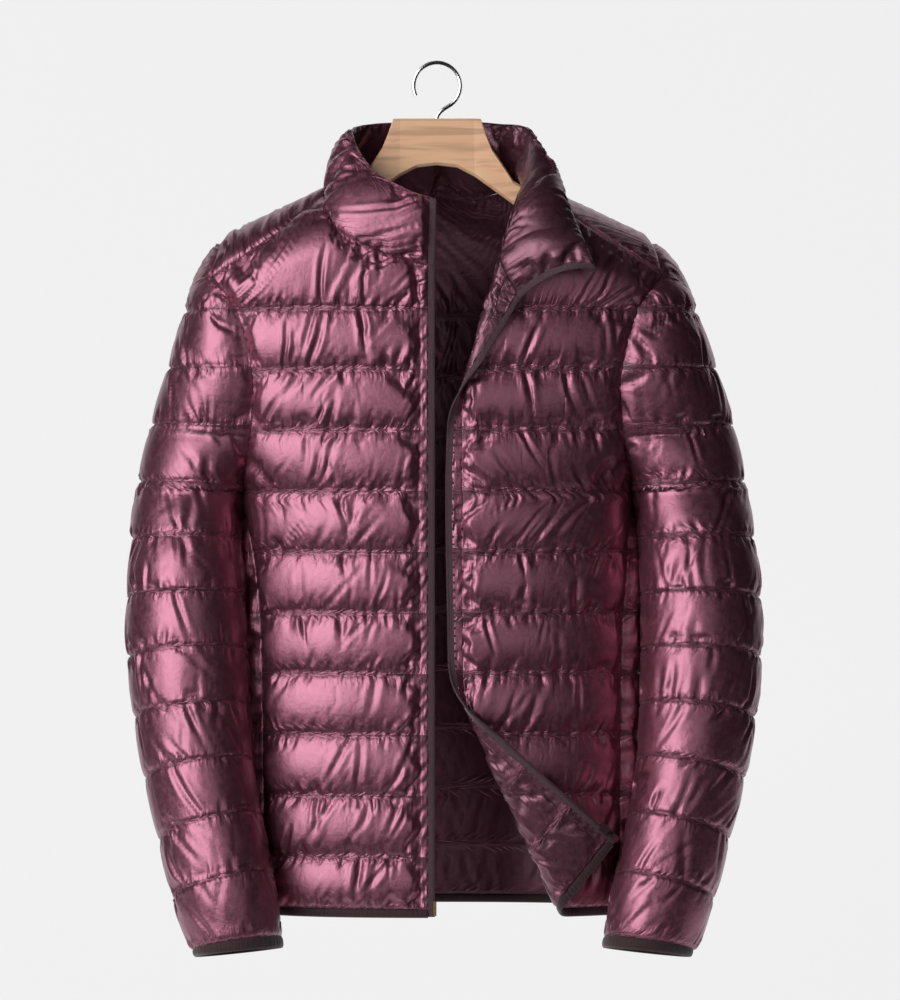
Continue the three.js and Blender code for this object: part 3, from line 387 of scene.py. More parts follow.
def sleeve_ring(z, swing, columns=SLEEVE_COLUMNS):
    """A ring of the right sleeve from its front seam round to its back seam."""
    is_open = z > UNDERARM_Z + 0.01
    if is_open:
        outer = column(SLEEVE_CAP, 1, z) + swing * column(SLEEVE_CAP, 2, z)
        inner = edge_x(z, -1)
    else:
        outer = column(SLEEVE, 1, z) + swing * column(SLEEVE, 5, z)
        inner = column(SLEEVE, 2, z) + swing * column(SLEEVE, 6, z)
    seam_x = float(inner) + SEAM_GAP / 2
    front = -float(body_depth(-seam_x, z, -1)) if is_open else 0
    back = float(body_depth(-seam_x, z, 1)) if is_open else 0
    mid, reach = (back - front) / 2, (back + front) / 2
    depth = max(float(column(SLEEVE, 4, z)), reach * 1.02)
    gape = math.pi - math.asin(reach / depth)
    half_x = (float(outer) - seam_x) / (1 - math.cos(gape))
    centre_x = float(outer) - half_x
    down = float(smooth((FIRST_LINE - z) / (FIRST_LINE - UNDERARM_Z)))
    centre_y = mix(mid, float(column(SLEEVE, 3, z)), down)
    lean = float(smooth((UNDERARM_Z - z) / 200))

    def slope(k):
        return float(column(SLEEVE, k, z - 20) - column(SLEEVE, k, z + 20)) / 40

    lean_x, lean_y = lean * (slope(1) + slope(2)) / 2, lean * slope(3)
    a = gape * (1 - 2 * steps(columns))
    dx, dy = half_x * np.cos(a), -depth * np.sin(a)
    y = mix(centre_y, mid, np.abs(a / gape) ** 4) if is_open else centre_y
    return np.stack([-(centre_x + dx), y + dy, z + lean_x * dx + lean_y * dy], 1)


def sleeve_grid(front, back, swing):
    """The right sleeve's middle surface from its cap down to the cuff."""
    def moved(row, near, beyond):
        away = row[:, near] - row[:, beyond]
        return row[:, near] + SEAM_GAP * away / np.linalg.norm(away, axis=1)[:, None]

    edges = [moved(front[: YOKE_ROWS + 1], -1, -2), moved(back[: YOKE_ROWS + 1], 0, 1)]

    def along(edge, share):
        k = np.arange(YOKE_ROWS + 1) / YOKE_ROWS
        return np.stack([np.interp(share, k, edge[:, c]) for c in range(3)], -1)

    low = 1 - CAP_ROWS / YOKE_ROWS
    c = 2 * steps(SLEEVE_COLUMNS) - 1
    top = np.where((c < 0)[:, None], along(edges[0], low * np.abs(c)), along(edges[1], low * np.abs(c)))
    near = smooth(1 - np.abs(c) / 0.1)[:, None]
    top = mix(top, (edges[0][0] + edges[1][0]) / 2, near * 0.5)
    first = sleeve_ring(FIRST_LINE, swing)
    knee = np.stack([mix(top[:, k], first[:, k], share) for k, share in enumerate((0.8, 0.7, 0.12))], 1)
    rows = []
    for k in range(CAP_ROWS):
        t = k / CAP_ROWS
        row = top * (1 - t) ** 2 + knee * 2 * t * (1 - t) + first * t * t
        row[0] = along(edges[0], low + (1 - low) * t)
        row[-1] = along(edges[1], low + (1 - low) * t)
        rows.append(row)
    return np.array(rows + [sleeve_ring(z, swing) for z in sleeve_levels()])


def collar_grid(right, back, left):
    """The collar's middle surface from its foot up, starting at the wearer's right."""
    feet, away = [], []
    last = BACK_SHOULDER_COLUMNS + BACK_NECK_COLUMNS
    for grid, order in (
        (right, range(RIGHT_NECK_COLUMNS)),
        (back, range(BACK_SHOULDER_COLUMNS, last + 1)),
        (left, range(LEFT_NECK_COLUMNS - 1, -1, -1)),
    ):
        for i in order:
            along = grid[0, i + 1] - grid[0, max(0, i - 1)]
            along = along / np.linalg.norm(along)
            up = grid[0, i] - grid[4, i]
            up = up - along * np.dot(up, along)
            feet.append(grid[0, i])
            away.append(up / np.linalg.norm(up))
    feet, away = np.array(feet), np.array(away)
    at = lengths(feet) / lengths(feet)[-1]
    padded = np.pad(away, ((4, 4), (0, 0)), mode="edge")
    away = np.stack([np.convolve(padded[:, k], np.ones(9) / 9, "valid") for k in range(3)], 1)
    top = np.stack([column(COLLAR_TOP, k, at) for k in (1, 2, 3)], 1)
    creased = smooth((at - 0.55) / 0.1) * (1 - smooth((at - 0.85) / 0.1))
    foot = feet + away * (SEAM_GAP + creased)[:, None]
    aside = np.stack([foot[:, 0] + 14, foot[:, 1], np.zeros(len(at))], 1)
    aside /= np.linalg.norm(aside, axis=1)[:, None]
    roll = smooth((at - 0.66) / 0.14)
    knee = mix(foot, top, 0.5) + aside * (3.5 * (1 - roll))[:, None]
    knee += np.stack([0 * roll, -11 * roll, 22 * roll], 1)
    t = steps(COLLAR_ROWS)[:, None, None]
    return foot * (1 - t) ** 2 + knee * 2 * t * (1 - t) + top * t * t


# ---------------------------------------------------------------- shells from grids
def normals(grid, joined=None):
    """Unit normals of a grid of points. Rows where joined is true close on themselves."""
    across = np.empty_like(grid)
    across[:, 1:-1] = grid[:, 2:] - grid[:, :-2]
    across[:, 0] = grid[:, 1] - grid[:, 0]
    across[:, -1] = grid[:, -1] - grid[:, -2]
    if joined is not None:
        wrap = grid[:, 1] - grid[:, -2]
        across[joined, 0] = wrap[joined]
        across[joined, -1] = wrap[joined]
    down = np.empty_like(grid)
    down[1:-1] = grid[2:] - grid[:-2]
    down[0] = grid[1] - grid[0]
    down[-1] = grid[-1] - grid[-2]
    normal = np.cross(across, down)
    return normal / np.maximum(np.linalg.norm(normal, axis=-1, keepdims=True), 1e-9)


def channel(t):
    """A filled channel from its upper line to its lower one: flat, and hanging over a little below."""
    return np.sin(np.pi * clamp(t) ** 1.2) ** 0.6


def side_shares(grid, start=LOFT_START, end=LOFT_START):
    """Loft grows from each side edge of a row of points."""
    run = np.array([lengths(row) for row in grid])
    return smooth(run / start) * smooth((run[:, -1:] - run) / end)


def stitch_places(rows, lead):
    """Each row's place among the stitch lines: whole numbers are lines, and 0 is the first."""
    k = np.arange(rows)
    return np.where(k < lead, k / lead - 1, (k - lead) / ROWS_PER_CHANNEL)


def puckers(grid, rng, count, waves, tilt):
    """Uneven small waves along the rows, which the cloth's own folds grow from."""
    u = np.array([lengths(row) for row in grid])
    v = np.cumsum(np.concatenate([[0], np.linalg.norm(np.diff(grid, axis=0), axis=-1).mean(1)]))[:, None]
    total = np.zeros(u.shape)
    for _ in range(count):
        wave = rng.uniform(*waves)
        lean = rng.uniform(*tilt)
        drift = 60 * np.sin(v / rng.uniform(40, 120) + rng.uniform(0, 6.3)) / wave
        total += np.sin(2 * np.pi * (u + lean * v) / wave + rng.uniform(0, 6.3) + drift)
    return total / math.sqrt(count)


class Quilt:
    """One padded piece: a grid of middle points, with heights of its shell and lining over it.

    The tilt is how its creases lean and many how close they are. Fuller is what makes it rounder,
    its stitch lines included.
    """

    def __init__(self, name, grid, place, seed, joined=None):
        self.name = name
        self.grid = grid
        self.joined = joined
        self.place = place
        self.swell = channel(self.place - np.floor(self.place))
        self.normal = normals(grid, joined)
        self.rng = np.random.default_rng(seed)
        rows, columns = grid.shape[:2]
        self.sewn = np.zeros((rows, columns), bool)
        self.sewn[np.isclose(self.place, np.round(self.place))] = True
        self.sewn[:, 0] = self.sewn[:, -1] = True
        self.edge = np.zeros((rows, columns), bool)
        self.edge[[0, -1]] = True
        self.edge[:, 0] = self.edge[:, -1] = True
        if joined is not None:
            self.edge[joined, 0] = self.edge[joined, -1] = False
            self.edge[-1] = True
        self.shares = side_shares(grid) if joined is None else np.ones((rows, columns))
        self.tilt = (-0.5, 0.5)
        self.many = 1.0
        self.fuller = np.zeros((rows, columns))

    def surface(self, loft, side, waves=(9, 26), rough=0.5):
        """Where the shell (side 1) or the lining (side -1) starts before it is filled."""
        rows, columns = self.sewn.shape
        rise = np.broadcast_to(loft * self.swell[:, None] * self.shares, (rows, columns))
        bumps = puckers(self.grid, self.rng, PUCKER_WAVES, waves, self.tilt)
        free = np.where(self.sewn, 0, clamp(self.swell * 4)[:, None] * clamp(self.shares * 3))
        height = np.where(self.edge, EDGE, np.where(self.sewn, SEWN + self.fuller, WALL + rise + self.fuller))
        self.limit = np.where(self.sewn, height, WALL + rise * 1.15 + 0.8 * free + self.fuller)
        height = height + rough * bumps * free
        self.side = side
        return self.grid + side * self.normal * height[..., None]

    def settled(self, points):
        """Keeps points on their own side of the middle surface, and within the filling's reach."""
        away = points - self.grid
        height = self.side * (away * self.normal).sum(-1)
        over = np.maximum(height - self.limit, 0)
        wanted = np.minimum(height, self.limit) + 1 - np.exp(-over / 3)
        wanted = np.where(self.sewn, height, np.maximum(wanted, 0.35))
        return points + self.side * self.normal * (wanted - height)[..., None]

    def creased(self, points, side):
        """Presses leaning creases into the cloth, which start at the stitch lines and run out in the channels."""
        run = np.array([lengths(row) for row in self.grid])
        press = np.zeros(run.shape)
        for first in np.unique(np.floor(self.place[:-1] + 1e-6)):
            rows = np.flatnonzero((self.place > first - 1e-6) & (self.place < first + 1 + 1e-6))
            down = (self.place[rows] - first)[:, None]
            tall = np.linalg.norm(np.diff(self.grid[rows], axis=0), axis=-1).sum(0).mean()
            wide = run[rows, -1].max()
            for _ in range(int(wide / CREASE_PITCH * self.many)):
                at, lean, width = (self.rng.uniform(*span) for span in ((0, wide), self.tilt, CREASE_WIDTH))
                reach = 0.2 + 0.9 * self.rng.random() ** 2
                far = down if self.rng.random() < 0.5 else 1 - down
                bend = 2 * np.sin(down * self.rng.uniform(2, 5) + self.rng.uniform(0, 6.3))
                off = np.abs(run[rows] - at + lean * tall * (down - 0.5) + bend) / width
                valley = np.exp(-(off**1.3)) - 0.5 * np.exp(-(((off - 2.1) / 1.1) ** 2))
                press[rows] += (
                    self.rng.uniform(*CREASE_DEPTH) * valley * smooth(far * 9)
                    * smooth((reach - far) / reach * 1.6)
                )
        press *= CREASE_SHARE[side] * clamp(self.shares * 2)
        height = side * ((points - self.grid) * self.normal).sum(-1)
        wanted = np.where(self.sewn, height, np.maximum(height - press, 0.35))
        return points + side * self.normal * (wanted - height)[..., None]


def cloth_grid(name, points, sewn, flip):
    """A sheet of faces through a grid of points, with its sewn points in a group."""
    rows, columns = sewn.shape
    index = np.arange(rows * columns).reshape(rows, columns)
    faces = np.stack([index[:-1, :-1], index[:-1, 1:], index[1:, 1:], index[1:, :-1]], -1).reshape(-1, 4)
    mesh = bpy.data.meshes.new(name)
    mesh.from_pydata((points.reshape(-1, 3) * MM).tolist(), [], (faces[:, ::-1] if flip else faces).tolist())
    sheet = bpy.data.objects.new(name, mesh)
    bpy.context.scene.collection.objects.link(sheet)
    group = sheet.vertex_groups.new(name="Sewn")
    group.add(np.flatnonzero(sewn).tolist(), 1.0, "REPLACE")
    return sheet


CLOTH = {
    "quality": 4, "mass": 0.3, "tension_stiffness": 2.0, "compression_stiffness": 2.0, "shear_stiffness": 0.6,
    "tension_damping": 1.0, "compression_damping": 1.0, "shear_damping": 1.0, "bending_damping": 0.1,
}


def filled(sheets, look):
    """Runs the cloth simulation on all sheets at once and returns their points, in millimetres."""
    for sheet in sheets:
        cloth = sheet.modifiers.new("Cloth", "CLOTH")
        settings = cloth.settings
        for name, value in CLOTH.items():
            setattr(settings, name, value)
        settings.bending_stiffness = look.stiffness
        settings.vertex_group_mass = "Sewn"
        settings.shrink_min = -look.spare
        settings.use_pressure = True
        settings.uniform_pressure_force = look.pressure
        settings.effector_weights.gravity = 0.0
        cloth.collision_settings.use_collision = False
        cloth.point_cache.frame_start = 1
        cloth.point_cache.frame_end = look.frames
    for number in range(1, look.frames + 1):
        bpy.context.scene.frame_set(number)
    results = []
    for sheet in sheets:
        bpy.ops.object.select_all(action="DESELECT")
        sheet.select_set(True)
        bpy.context.view_layer.objects.active = sheet
        bpy.ops.object.modifier_apply(modifier="Cloth")
        points = np.zeros(len(sheet.data.vertices) * 3)
        sheet.data.vertices.foreach_get("co", points)
        results.append(points.reshape(-1, 3) / MM)
        bpy.data.objects.remove(sheet)
    return results


def shell_object(name, outer, inner, joined, place, materials):
    """A closed piece from the points of its shell and lining, with a UV map that follows the cloth."""
    rows, columns = outer.shape[:2]
    index = np.arange(rows * columns).reshape(rows, columns)
    where = index.copy()
    if joined is not None:
        where[joined, -1] = where[joined, 0]
    layer = rows * columns

    def quads(a, b, c, d, shift):
        return np.stack([a, b, c, d], -1).reshape(-1, 4) + shift

    def corners(table, shift, flip):
        faces = quads(table[:-1, :-1], table[:-1, 1:], table[1:, 1:], table[1:, :-1], shift)
        return faces[:, ::-1] if flip else faces

    def rim(line, table):
        a, b = line[:-1], line[1:]
        flat = table.reshape(-1)
        return np.stack([flat[a], flat[a] + layer, flat[b] + layer, flat[b]], -1)

    lines = [index[0], index[-1][::-1]]
    free = np.flatnonzero(~joined) if joined is not None else np.arange(rows)
    if len(free) > 1:
        if joined is not None:
            free = np.append(free, free[-1] + 1)
        lines += [index[free, 0][::-1], index[free, -1]]
    parts, maps, slots = [], [], []
    for table, store in ((where, parts), (index, maps)):
        store.append(corners(table, 0, False))
        store.append(corners(table, layer, True))
        store.extend(rim(line, table) for line in lines)
    slots = [0] * len(parts[0]) + [1] * len(parts[1]) + [0] * sum(len(part) for part in parts[2:])
    faces, chart = np.concatenate(parts), np.concatenate(maps)
    mesh = bpy.data.meshes.new(name)
    points = np.concatenate([outer.reshape(-1, 3), inner.reshape(-1, 3)]) * MM
    mesh.from_pydata(points.tolist(), [], faces.tolist())
    run = np.array([lengths(row) for row in outer]) * MM
    uv = np.stack([run, np.broadcast_to(place[:, None], run.shape)], -1).reshape(-1, 2)
    layer_uv = mesh.uv_layers.new(name="Cloth")
    layer_uv.data.foreach_set("uv", np.concatenate([uv, uv])[chart.reshape(-1)].reshape(-1))
    mesh.polygons.foreach_set("material_index", slots)
    mesh.polygons.foreach_set("use_smooth", [True] * len(faces))
    for material in materials:
        mesh.materials.append(material)
    piece = bpy.data.objects.new(name, mesh)
    bpy.context.scene.collection.objects.link(piece)
    if joined is not None:
        shape = bmesh.new()
        shape.from_mesh(mesh)
        bmesh.ops.delete(shape, geom=[v for v in shape.verts if not v.link_faces], context="VERTS")
        shape.to_mesh(mesh)
        shape.free()
    mesh.validate()
    return piece


# ---------------------------------------------------------------- the jacket's pieces
def front_edge(s, z):
    return RIGHT_EDGE_X if s < 0 else float(column(LEFT_EDGE, 1, z))


def panel_grids():
    """Middle surfaces of the right front, left front and back, and how far the left front is turned."""
    if not GRIDS:
        right, _ = front_grid(
            -1, lambda z: front_edge(-1, z), RIGHT_NECKLINE, RIGHT_NECK_COLUMNS, 1.0, right_place)
        left, turn = front_grid(
            1, lambda z: front_edge(1, z), LEFT_NECKLINE, LEFT_NECK_COLUMNS, 1.3, left_place)
        GRIDS.update(right=right, left=left, turn=turn, back=back_grid())
        GRIDS["collar"] = collar_grid(right, GRIDS["back"], left)
    return GRIDS


GRIDS = {}


def beside_sleeve(grid):
    """How much of the loft stays where a sleeve lies against the body."""
    x, z = grid[..., 0], grid[..., 2]
    aside = smooth((np.abs(x) / half_width(z, np.sign(x)) - 0.86) / 0.12)
    low = smooth((UNDERARM_Z + 40 - z) / 40) * mix(0.85, 0.65, smooth((UNDERARM_Z - z) / 90))
    return 1 - low * aside


def beside_zip(run, column_of_line):
    """The loft along a front edge: a flat strip up to a stitch line, and the channels beyond it."""
    line = run[:, column_of_line][:, None]
    return smooth(run / 4) * smooth((line - run) / 4) * 0.3 * (run < line) + smooth((run - line) / 10)


def body_quilts():
    grids = panel_grids()
    place = stitch_places(len(grids["right"]), YOKE_ROWS)
    right = Quilt("right_front_quilt", grids["right"], place, 11)
    right.sewn[:, STRIP_COLUMN] = True
    run = np.array([lengths(row) for row in right.grid])
    strip = beside_zip(run, STRIP_COLUMN)
    right.shares = side_shares(right.grid, 0.01, LOFT_START) * strip * beside_sleeve(right.grid)
    right.tilt = (-1.0, 0.2)
    back = Quilt("back_quilt", grids["back"], place, 12)
    pressed = smooth(np.arange(len(back.grid)) / (YOKE_ROWS * PRESSED_SHARE))[:, None]
    under = np.arange(back.grid.shape[1]) > BACK_SHOULDER_COLUMNS + BACK_NECK_COLUMNS * 0.7
    x, z = back.grid[..., 0], back.grid[..., 2]
    aside = smooth((np.abs(x) / half_width(z, np.sign(x)) - 0.84) / 0.1)
    back.fuller = BACK_ROUNDER * aside * smooth((UNDERARM_Z - z) / 40)
    back.fuller *= clamp(side_shares(back.grid) * 2)
    back.shares = back.shares * beside_sleeve(back.grid) * np.where(under, pressed, 1)
    left = Quilt("left_front_quilt", grids["left"][:, ::-1], place, 13)
    left.tilt = (-0.7, 0.3)
    left.many = 0.65
    turn = grids["turn"][:, ::-1]
    pressed = smooth(np.arange(len(left.grid)) / (YOKE_ROWS * PRESSED_SHARE))[:, None]
    under = np.arange(left.grid.shape[1]) > SHOULDER_COLUMNS * 0.8
    left.sewn[:, -1 - FACING_COLUMN] = True
    run = np.array([lengths(row[::-1])[::-1] for row in left.grid])
    strip = beside_zip(run, -1 - FACING_COLUMN)
    left.shares = side_shares(left.grid, LOFT_START, 0.01) * strip * beside_sleeve(left.grid)
    left.shares = left.shares * np.where(under, pressed, 1) * (1 - 0.6 * smooth(turn / 1.5))
    return {"right_front": right, "left_front": left, "back_panel": back}


def sleeve_quilts():
    grids = panel_grids()
    quilts = {}
    for name, swing, seed in (("right_sleeve", 0, 21), ("left_sleeve", 1, 22)):
        grid = sleeve_grid(grids["right"], grids["back"], swing)
        rows, columns = grid.shape[:2]
        joined = np.concatenate([np.zeros(CAP_ROWS, bool), sleeve_levels() <= UNDERARM_Z + 0.01])
        if swing:
            grid = grid[:, ::-1] * [-1, 1, 1]
        quilt = Quilt(name + "_quilt", grid, stitch_places(rows, CAP_ROWS), seed, joined)
        quilt.tilt = (-0.2, 0.8) if name == "right_sleeve" else (-0.8, 0.3)
        around = np.abs(2 * np.arange(columns) / (columns - 1) - 1)
        open_rows = ~joined
        quilt.shares[open_rows] = side_shares(grid[open_rows])
        quilt.shares = quilt.shares * mix(1, 0.15, smooth((around - 0.5) / 0.35))
        quilt.fuller = mix(*SLEEVE_ROUNDER, smooth((1 - around) / 0.45)) * clamp(quilt.shares * 6)
        k = np.arange(rows)
        quilt.fuller *= (smooth((k - 2) / (CAP_ROWS + 20)) * smooth((rows - 1 - k) / 14))[:, None]
        quilts[name] = quilt
    return quilts


def collar_quilt():
    """The collar, from the wearer's left end round to the right one, and from its foot up."""
    grid = panel_grids()["collar"][:, ::-1]
    quilt = Quilt("collar_quilt", grid, steps(COLLAR_ROWS), 31)
    quilt.shares = side_shares(grid, 9, 9)
    quilt.tilt = (-1.4, 0.2)
    return quilt


def edge_ribbon(side):
    """Points along a front edge from the hem up to the collar's top, and their neighbours inside it."""
    grids = panel_grids()
    s, place = (-1, right_place) if side == "right" else (1, left_place)
    grid, collar = grids[side], grids["collar"]
    edge, beside = [], []
    for z in np.linspace(HEM_LINE - SEAM_GAP - HEM_BINDING + 1, HEM_LINE, 8)[:-1]:
        for inset, store in ((0, edge), (2, beside)):
            store.append(place(front_edge(s, z) + s * inset, z)[0])
    edge += list(grid[::-1, 0])
    beside += list(grid[::-1, 10])
    end, inside = (0, 5) if side == "right" else (-1, -6)
    edge += list(collar[:, end])
    beside += list(collar[:, inside])
    edge, beside = np.array(edge), np.array(beside)
    away = edge - beside
    away /= np.linalg.norm(away, axis=1)[:, None]
    count = int(lengths(edge)[-1] / 2)
    run = lengths(edge)
    at = np.linspace(0, run[-1], count)
    pick = [np.stack([np.interp(at, run, part[:, k]) for k in range(3)], 1) for part in (edge, away)]
    pick[1] /= np.linalg.norm(pick[1], axis=1)[:, None]
    return pick


def hem_path(z):
    """The hem at one height, from the right front edge round the back to the left front edge."""
    right = front_row(z, front_edge(-1, z), -1, steps(130))
    left = front_row(z, front_edge(1, z), 1, steps(180))
    left = left_place(left[:, 0], left[:, 2])[0][::-1]
    return np.concatenate([right[:-1], back_row(z, steps(330))[1:-1], left])


def band(name, rows, half, ribs, seed, joined, materials):
    """An elastic binding through rows of points: rounded across, with fine uneven ribs along it."""
    grid = np.array(rows)
    normal = normals(grid, joined)
    across = np.abs(2 * steps(len(grid) - 1) - 1)[:, None]
    run = np.array([lengths(row) for row in grid])
    rng = np.random.default_rng(seed)
    wave = sum(np.sin(run * 2 * np.pi / rng.uniform(2.6, 5.5) + rng.uniform(0, 6.3)) for _ in range(5)) / 5
    height = half * (1 - across**3) * (1 + ribs * wave) + 0.35
    return shell_object(
        name, grid + normal * height[..., None], grid - normal * height[..., None] * 0.8, joined,
        steps(len(grid) - 1), materials)


def solid_copies(name, template, places, material):
    """One mesh of many copies of a small template: each place has its origin and three axes."""
    points, faces = template
    spots = np.array([place[0] for place in places])
    axes = np.array([place[1] for place in places])
    all_points = spots[:, None, :] + np.einsum("pk,nkc->npc", points, axes)
    shift = (np.arange(len(places)) * len(points))[:, None, None]
    all_faces = (np.array(faces)[None] + shift).reshape(-1, len(faces[0]))
    mesh = bpy.data.meshes.new(name)
    mesh.from_pydata((all_points.reshape(-1, 3) * MM).tolist(), [], all_faces.tolist())
    mesh.materials.append(material)
    piece = bpy.data.objects.new(name, mesh)
    bpy.context.scene.collection.objects.link(piece)
    return piece


def primitive_template(size, taper):
    """A small block, modelled once: its long sides narrowed towards both ends."""
    bpy.ops.object.select_all(action="DESELECT")
    bpy.ops.mesh.primitive_cube_add(size=1.0)
    block = bpy.context.active_object
    bpy.ops.object.mode_set(mode="EDIT")
    shape = bmesh.from_edit_mesh(block.data)
    for face in shape.faces:
        face.select_set(abs(face.normal.y) > 0.9)
    bpy.ops.mesh.inset(thickness=0.0, depth=0.2)
    bpy.ops.object.mode_set(mode="OBJECT")
    points = np.array([v.co for v in block.data.vertices])
    ends = np.abs(points[:, 1]) > 0.6
    points[ends, 0] *= taper
    points[ends, 2] *= taper
    points[:, 1] /= 1.4
    faces = [list(polygon.vertices) for polygon in block.data.polygons]
    bpy.data.objects.remove(block)
    return points * size, faces


def seam_places(points, normal, pitch, sink):
    """Places along a line of points: x across, y along, z out of the cloth."""
    run = lengths(points)
    at = np.arange(pitch / 2, run[-1], pitch)
    spot = np.stack([np.interp(at, run, points[:, k]) for k in range(3)], 1)
    ahead = np.stack([np.interp(at + 0.5, run, points[:, k]) for k in range(3)], 1)
    behind = np.stack([np.interp(at - 0.5, run, points[:, k]) for k in range(3)], 1)
    along = ahead - behind
    along /= np.maximum(np.linalg.norm(along, axis=1), 1e-9)[:, None]
    out = np.stack([np.interp(at, run, normal[:, k]) for k in range(3)], 1)
    out -= along * (out * along).sum(1)[:, None]
    out /= np.linalg.norm(out, axis=1)[:, None]
    side = np.cross(along, out)
    return [(p + o * sink, (x, a, o)) for p, a, o, x in zip(spot, along, out, side)]


# ---------------------------------------------------------------- materials
def group_of(name, inputs, outputs, build):
    group = bpy.data.node_groups.new(name, "ShaderNodeTree")
    for label, kind, value in inputs:
        socket = group.interface.new_socket(name=label, in_out="INPUT", socket_type=kind)
        if value is not None:
            socket.default_value = value
    for label, kind in outputs:
        group.interface.new_socket(name=label, in_out="OUTPUT", socket_type=kind)
    build(group, group.nodes.new("NodeGroupInput"), group.nodes.new("NodeGroupOutput"))
    return group


def math_node(group, operation, a, b=None):
    node = group.nodes.new("ShaderNodeMath")
    node.operation = operation
    for socket, value in zip(node.inputs, (a, b)):
        if value is None:
            continue
        if isinstance(value, (int, float)):
            socket.default_value = value
        else:
            group.links.new(value, socket)
    return node.outputs[0]


def crinkle_group():
    """Small creases of thin cloth: the Height has soft crumples and sharper folds."""
    def build(group, given, made):
        noise = group.nodes.new("ShaderNodeTexNoise")
        noise.inputs["Detail"].default_value = 3.0
        noise.inputs["Distortion"].default_value = 0.8
        folds = group.nodes.new("ShaderNodeTexNoise")
        folds.noise_type = "RIDGED_MULTIFRACTAL"
        folds.inputs["Detail"].default_value = 2.0
        for node in (noise, folds):
            group.links.new(given.outputs["Vector"], node.inputs["Vector"])
        group.links.new(given.outputs["Scale"], noise.inputs["Scale"])
        group.links.new(math_node(group, "MULTIPLY", given.outputs["Scale"], 0.45), folds.inputs["Scale"])
        sharper = math_node(group, "MULTIPLY", folds.outputs["Fac"], 0.35)
        total = math_node(group, "ADD", noise.outputs["Fac"], sharper)
        group.links.new(total, made.inputs["Height"])
        group.links.new(noise.outputs["Fac"], made.inputs["Patches"])

    return group_of(
        "Crinkle", [("Vector", "NodeSocketVector", None), ("Scale", "NodeSocketFloat", 200.0)],
        [("Height", "NodeSocketFloat"), ("Patches", "NodeSocketFloat")], build)


def gather_group():
    """Fine gathers that start at the stitch lines, on a map whose Y counts the channels."""
    def build(group, given, made):
        split = group.nodes.new("ShaderNodeSeparateXYZ")
        join = group.nodes.new("ShaderNodeCombineXYZ")
        noise = group.nodes.new("ShaderNodeTexNoise")
        noise.inputs["Scale"].default_value = 150.0
        noise.inputs["Detail"].default_value = 2.0
        group.links.new(given.outputs["Vector"], split.inputs[0])
        across, channels = split.outputs[0], split.outputs[1]
        group.links.new(math_node(group, "MULTIPLY", channels, 0.012), join.inputs[1])
        group.links.new(across, join.inputs[0])
        group.links.new(join.outputs[0], noise.inputs["Vector"])
        line = math_node(group, "FRACT", math_node(group, "ADD", channels, 0.5))
        off = math_node(group, "ABSOLUTE", math_node(group, "SUBTRACT", line, 0.5))
        near = math_node(group, "SUBTRACT", 1.0, math_node(group, "MULTIPLY", off, 2.0))
        near = math_node(group, "POWER", near, 3.0)
        group.links.new(math_node(group, "MULTIPLY", noise.outputs["Fac"], near), made.inputs["Height"])

    return group_of("Gathers", [("Vector", "NodeSocketVector", None)], [("Height", "NodeSocketFloat")], build)


def weave_group():
    """Crossing threads; Threads is how many there are in a metre."""
    def build(group, given, made):
        split = group.nodes.new("ShaderNodeSeparateXYZ")
        group.links.new(given.outputs["Vector"], split.inputs[0])
        waves = []
        for axis in range(2):
            turns = math_node(group, "MULTIPLY", split.outputs[axis], given.outputs["Threads"])
            waves.append(math_node(group, "SINE", math_node(group, "MULTIPLY", turns, math.pi)))
        product = math_node(group, "MULTIPLY", waves[0], waves[1])
        group.links.new(math_node(group, "MULTIPLY_ADD", product, 0.5), made.inputs["Height"])

    return group_of(
        "Plain weave", [("Vector", "NodeSocketVector", None), ("Threads", "NodeSocketFloat", 2500.0)],
        [("Height", "NodeSocketFloat")], build)


def grain_group():
    """Wood grain that runs along X: the Fac is darker in the late wood."""
    def build(group, given, made):
        mapping = group.nodes.new("ShaderNodeMapping")
        mapping.inputs["Scale"].default_value = (6.0, 60.0, 90.0)
        group.links.new(given.outputs["Vector"], mapping.inputs["Vector"])
        noise = group.nodes.new("ShaderNodeTexNoise")
        noise.inputs["Scale"].default_value = 1.6
        noise.inputs["Detail"].default_value = 6.0
        noise.inputs["Distortion"].default_value = 0.6
        group.links.new(mapping.outputs[0], noise.inputs["Vector"])
        pores = group.nodes.new("ShaderNodeTexNoise")
        pores.inputs["Scale"].default_value = 9.0
        pores.inputs["Detail"].default_value = 2.0
        group.links.new(mapping.outputs[0], pores.inputs["Vector"])
        group.links.new(noise.outputs["Fac"], made.inputs["Grain"])
        group.links.new(pores.outputs["Fac"], made.inputs["Pores"])

    return group_of(
        "Wood grain", [("Vector", "NodeSocketVector", None)],
        [("Grain", "NodeSocketFloat"), ("Pores", "NodeSocketFloat")], build)


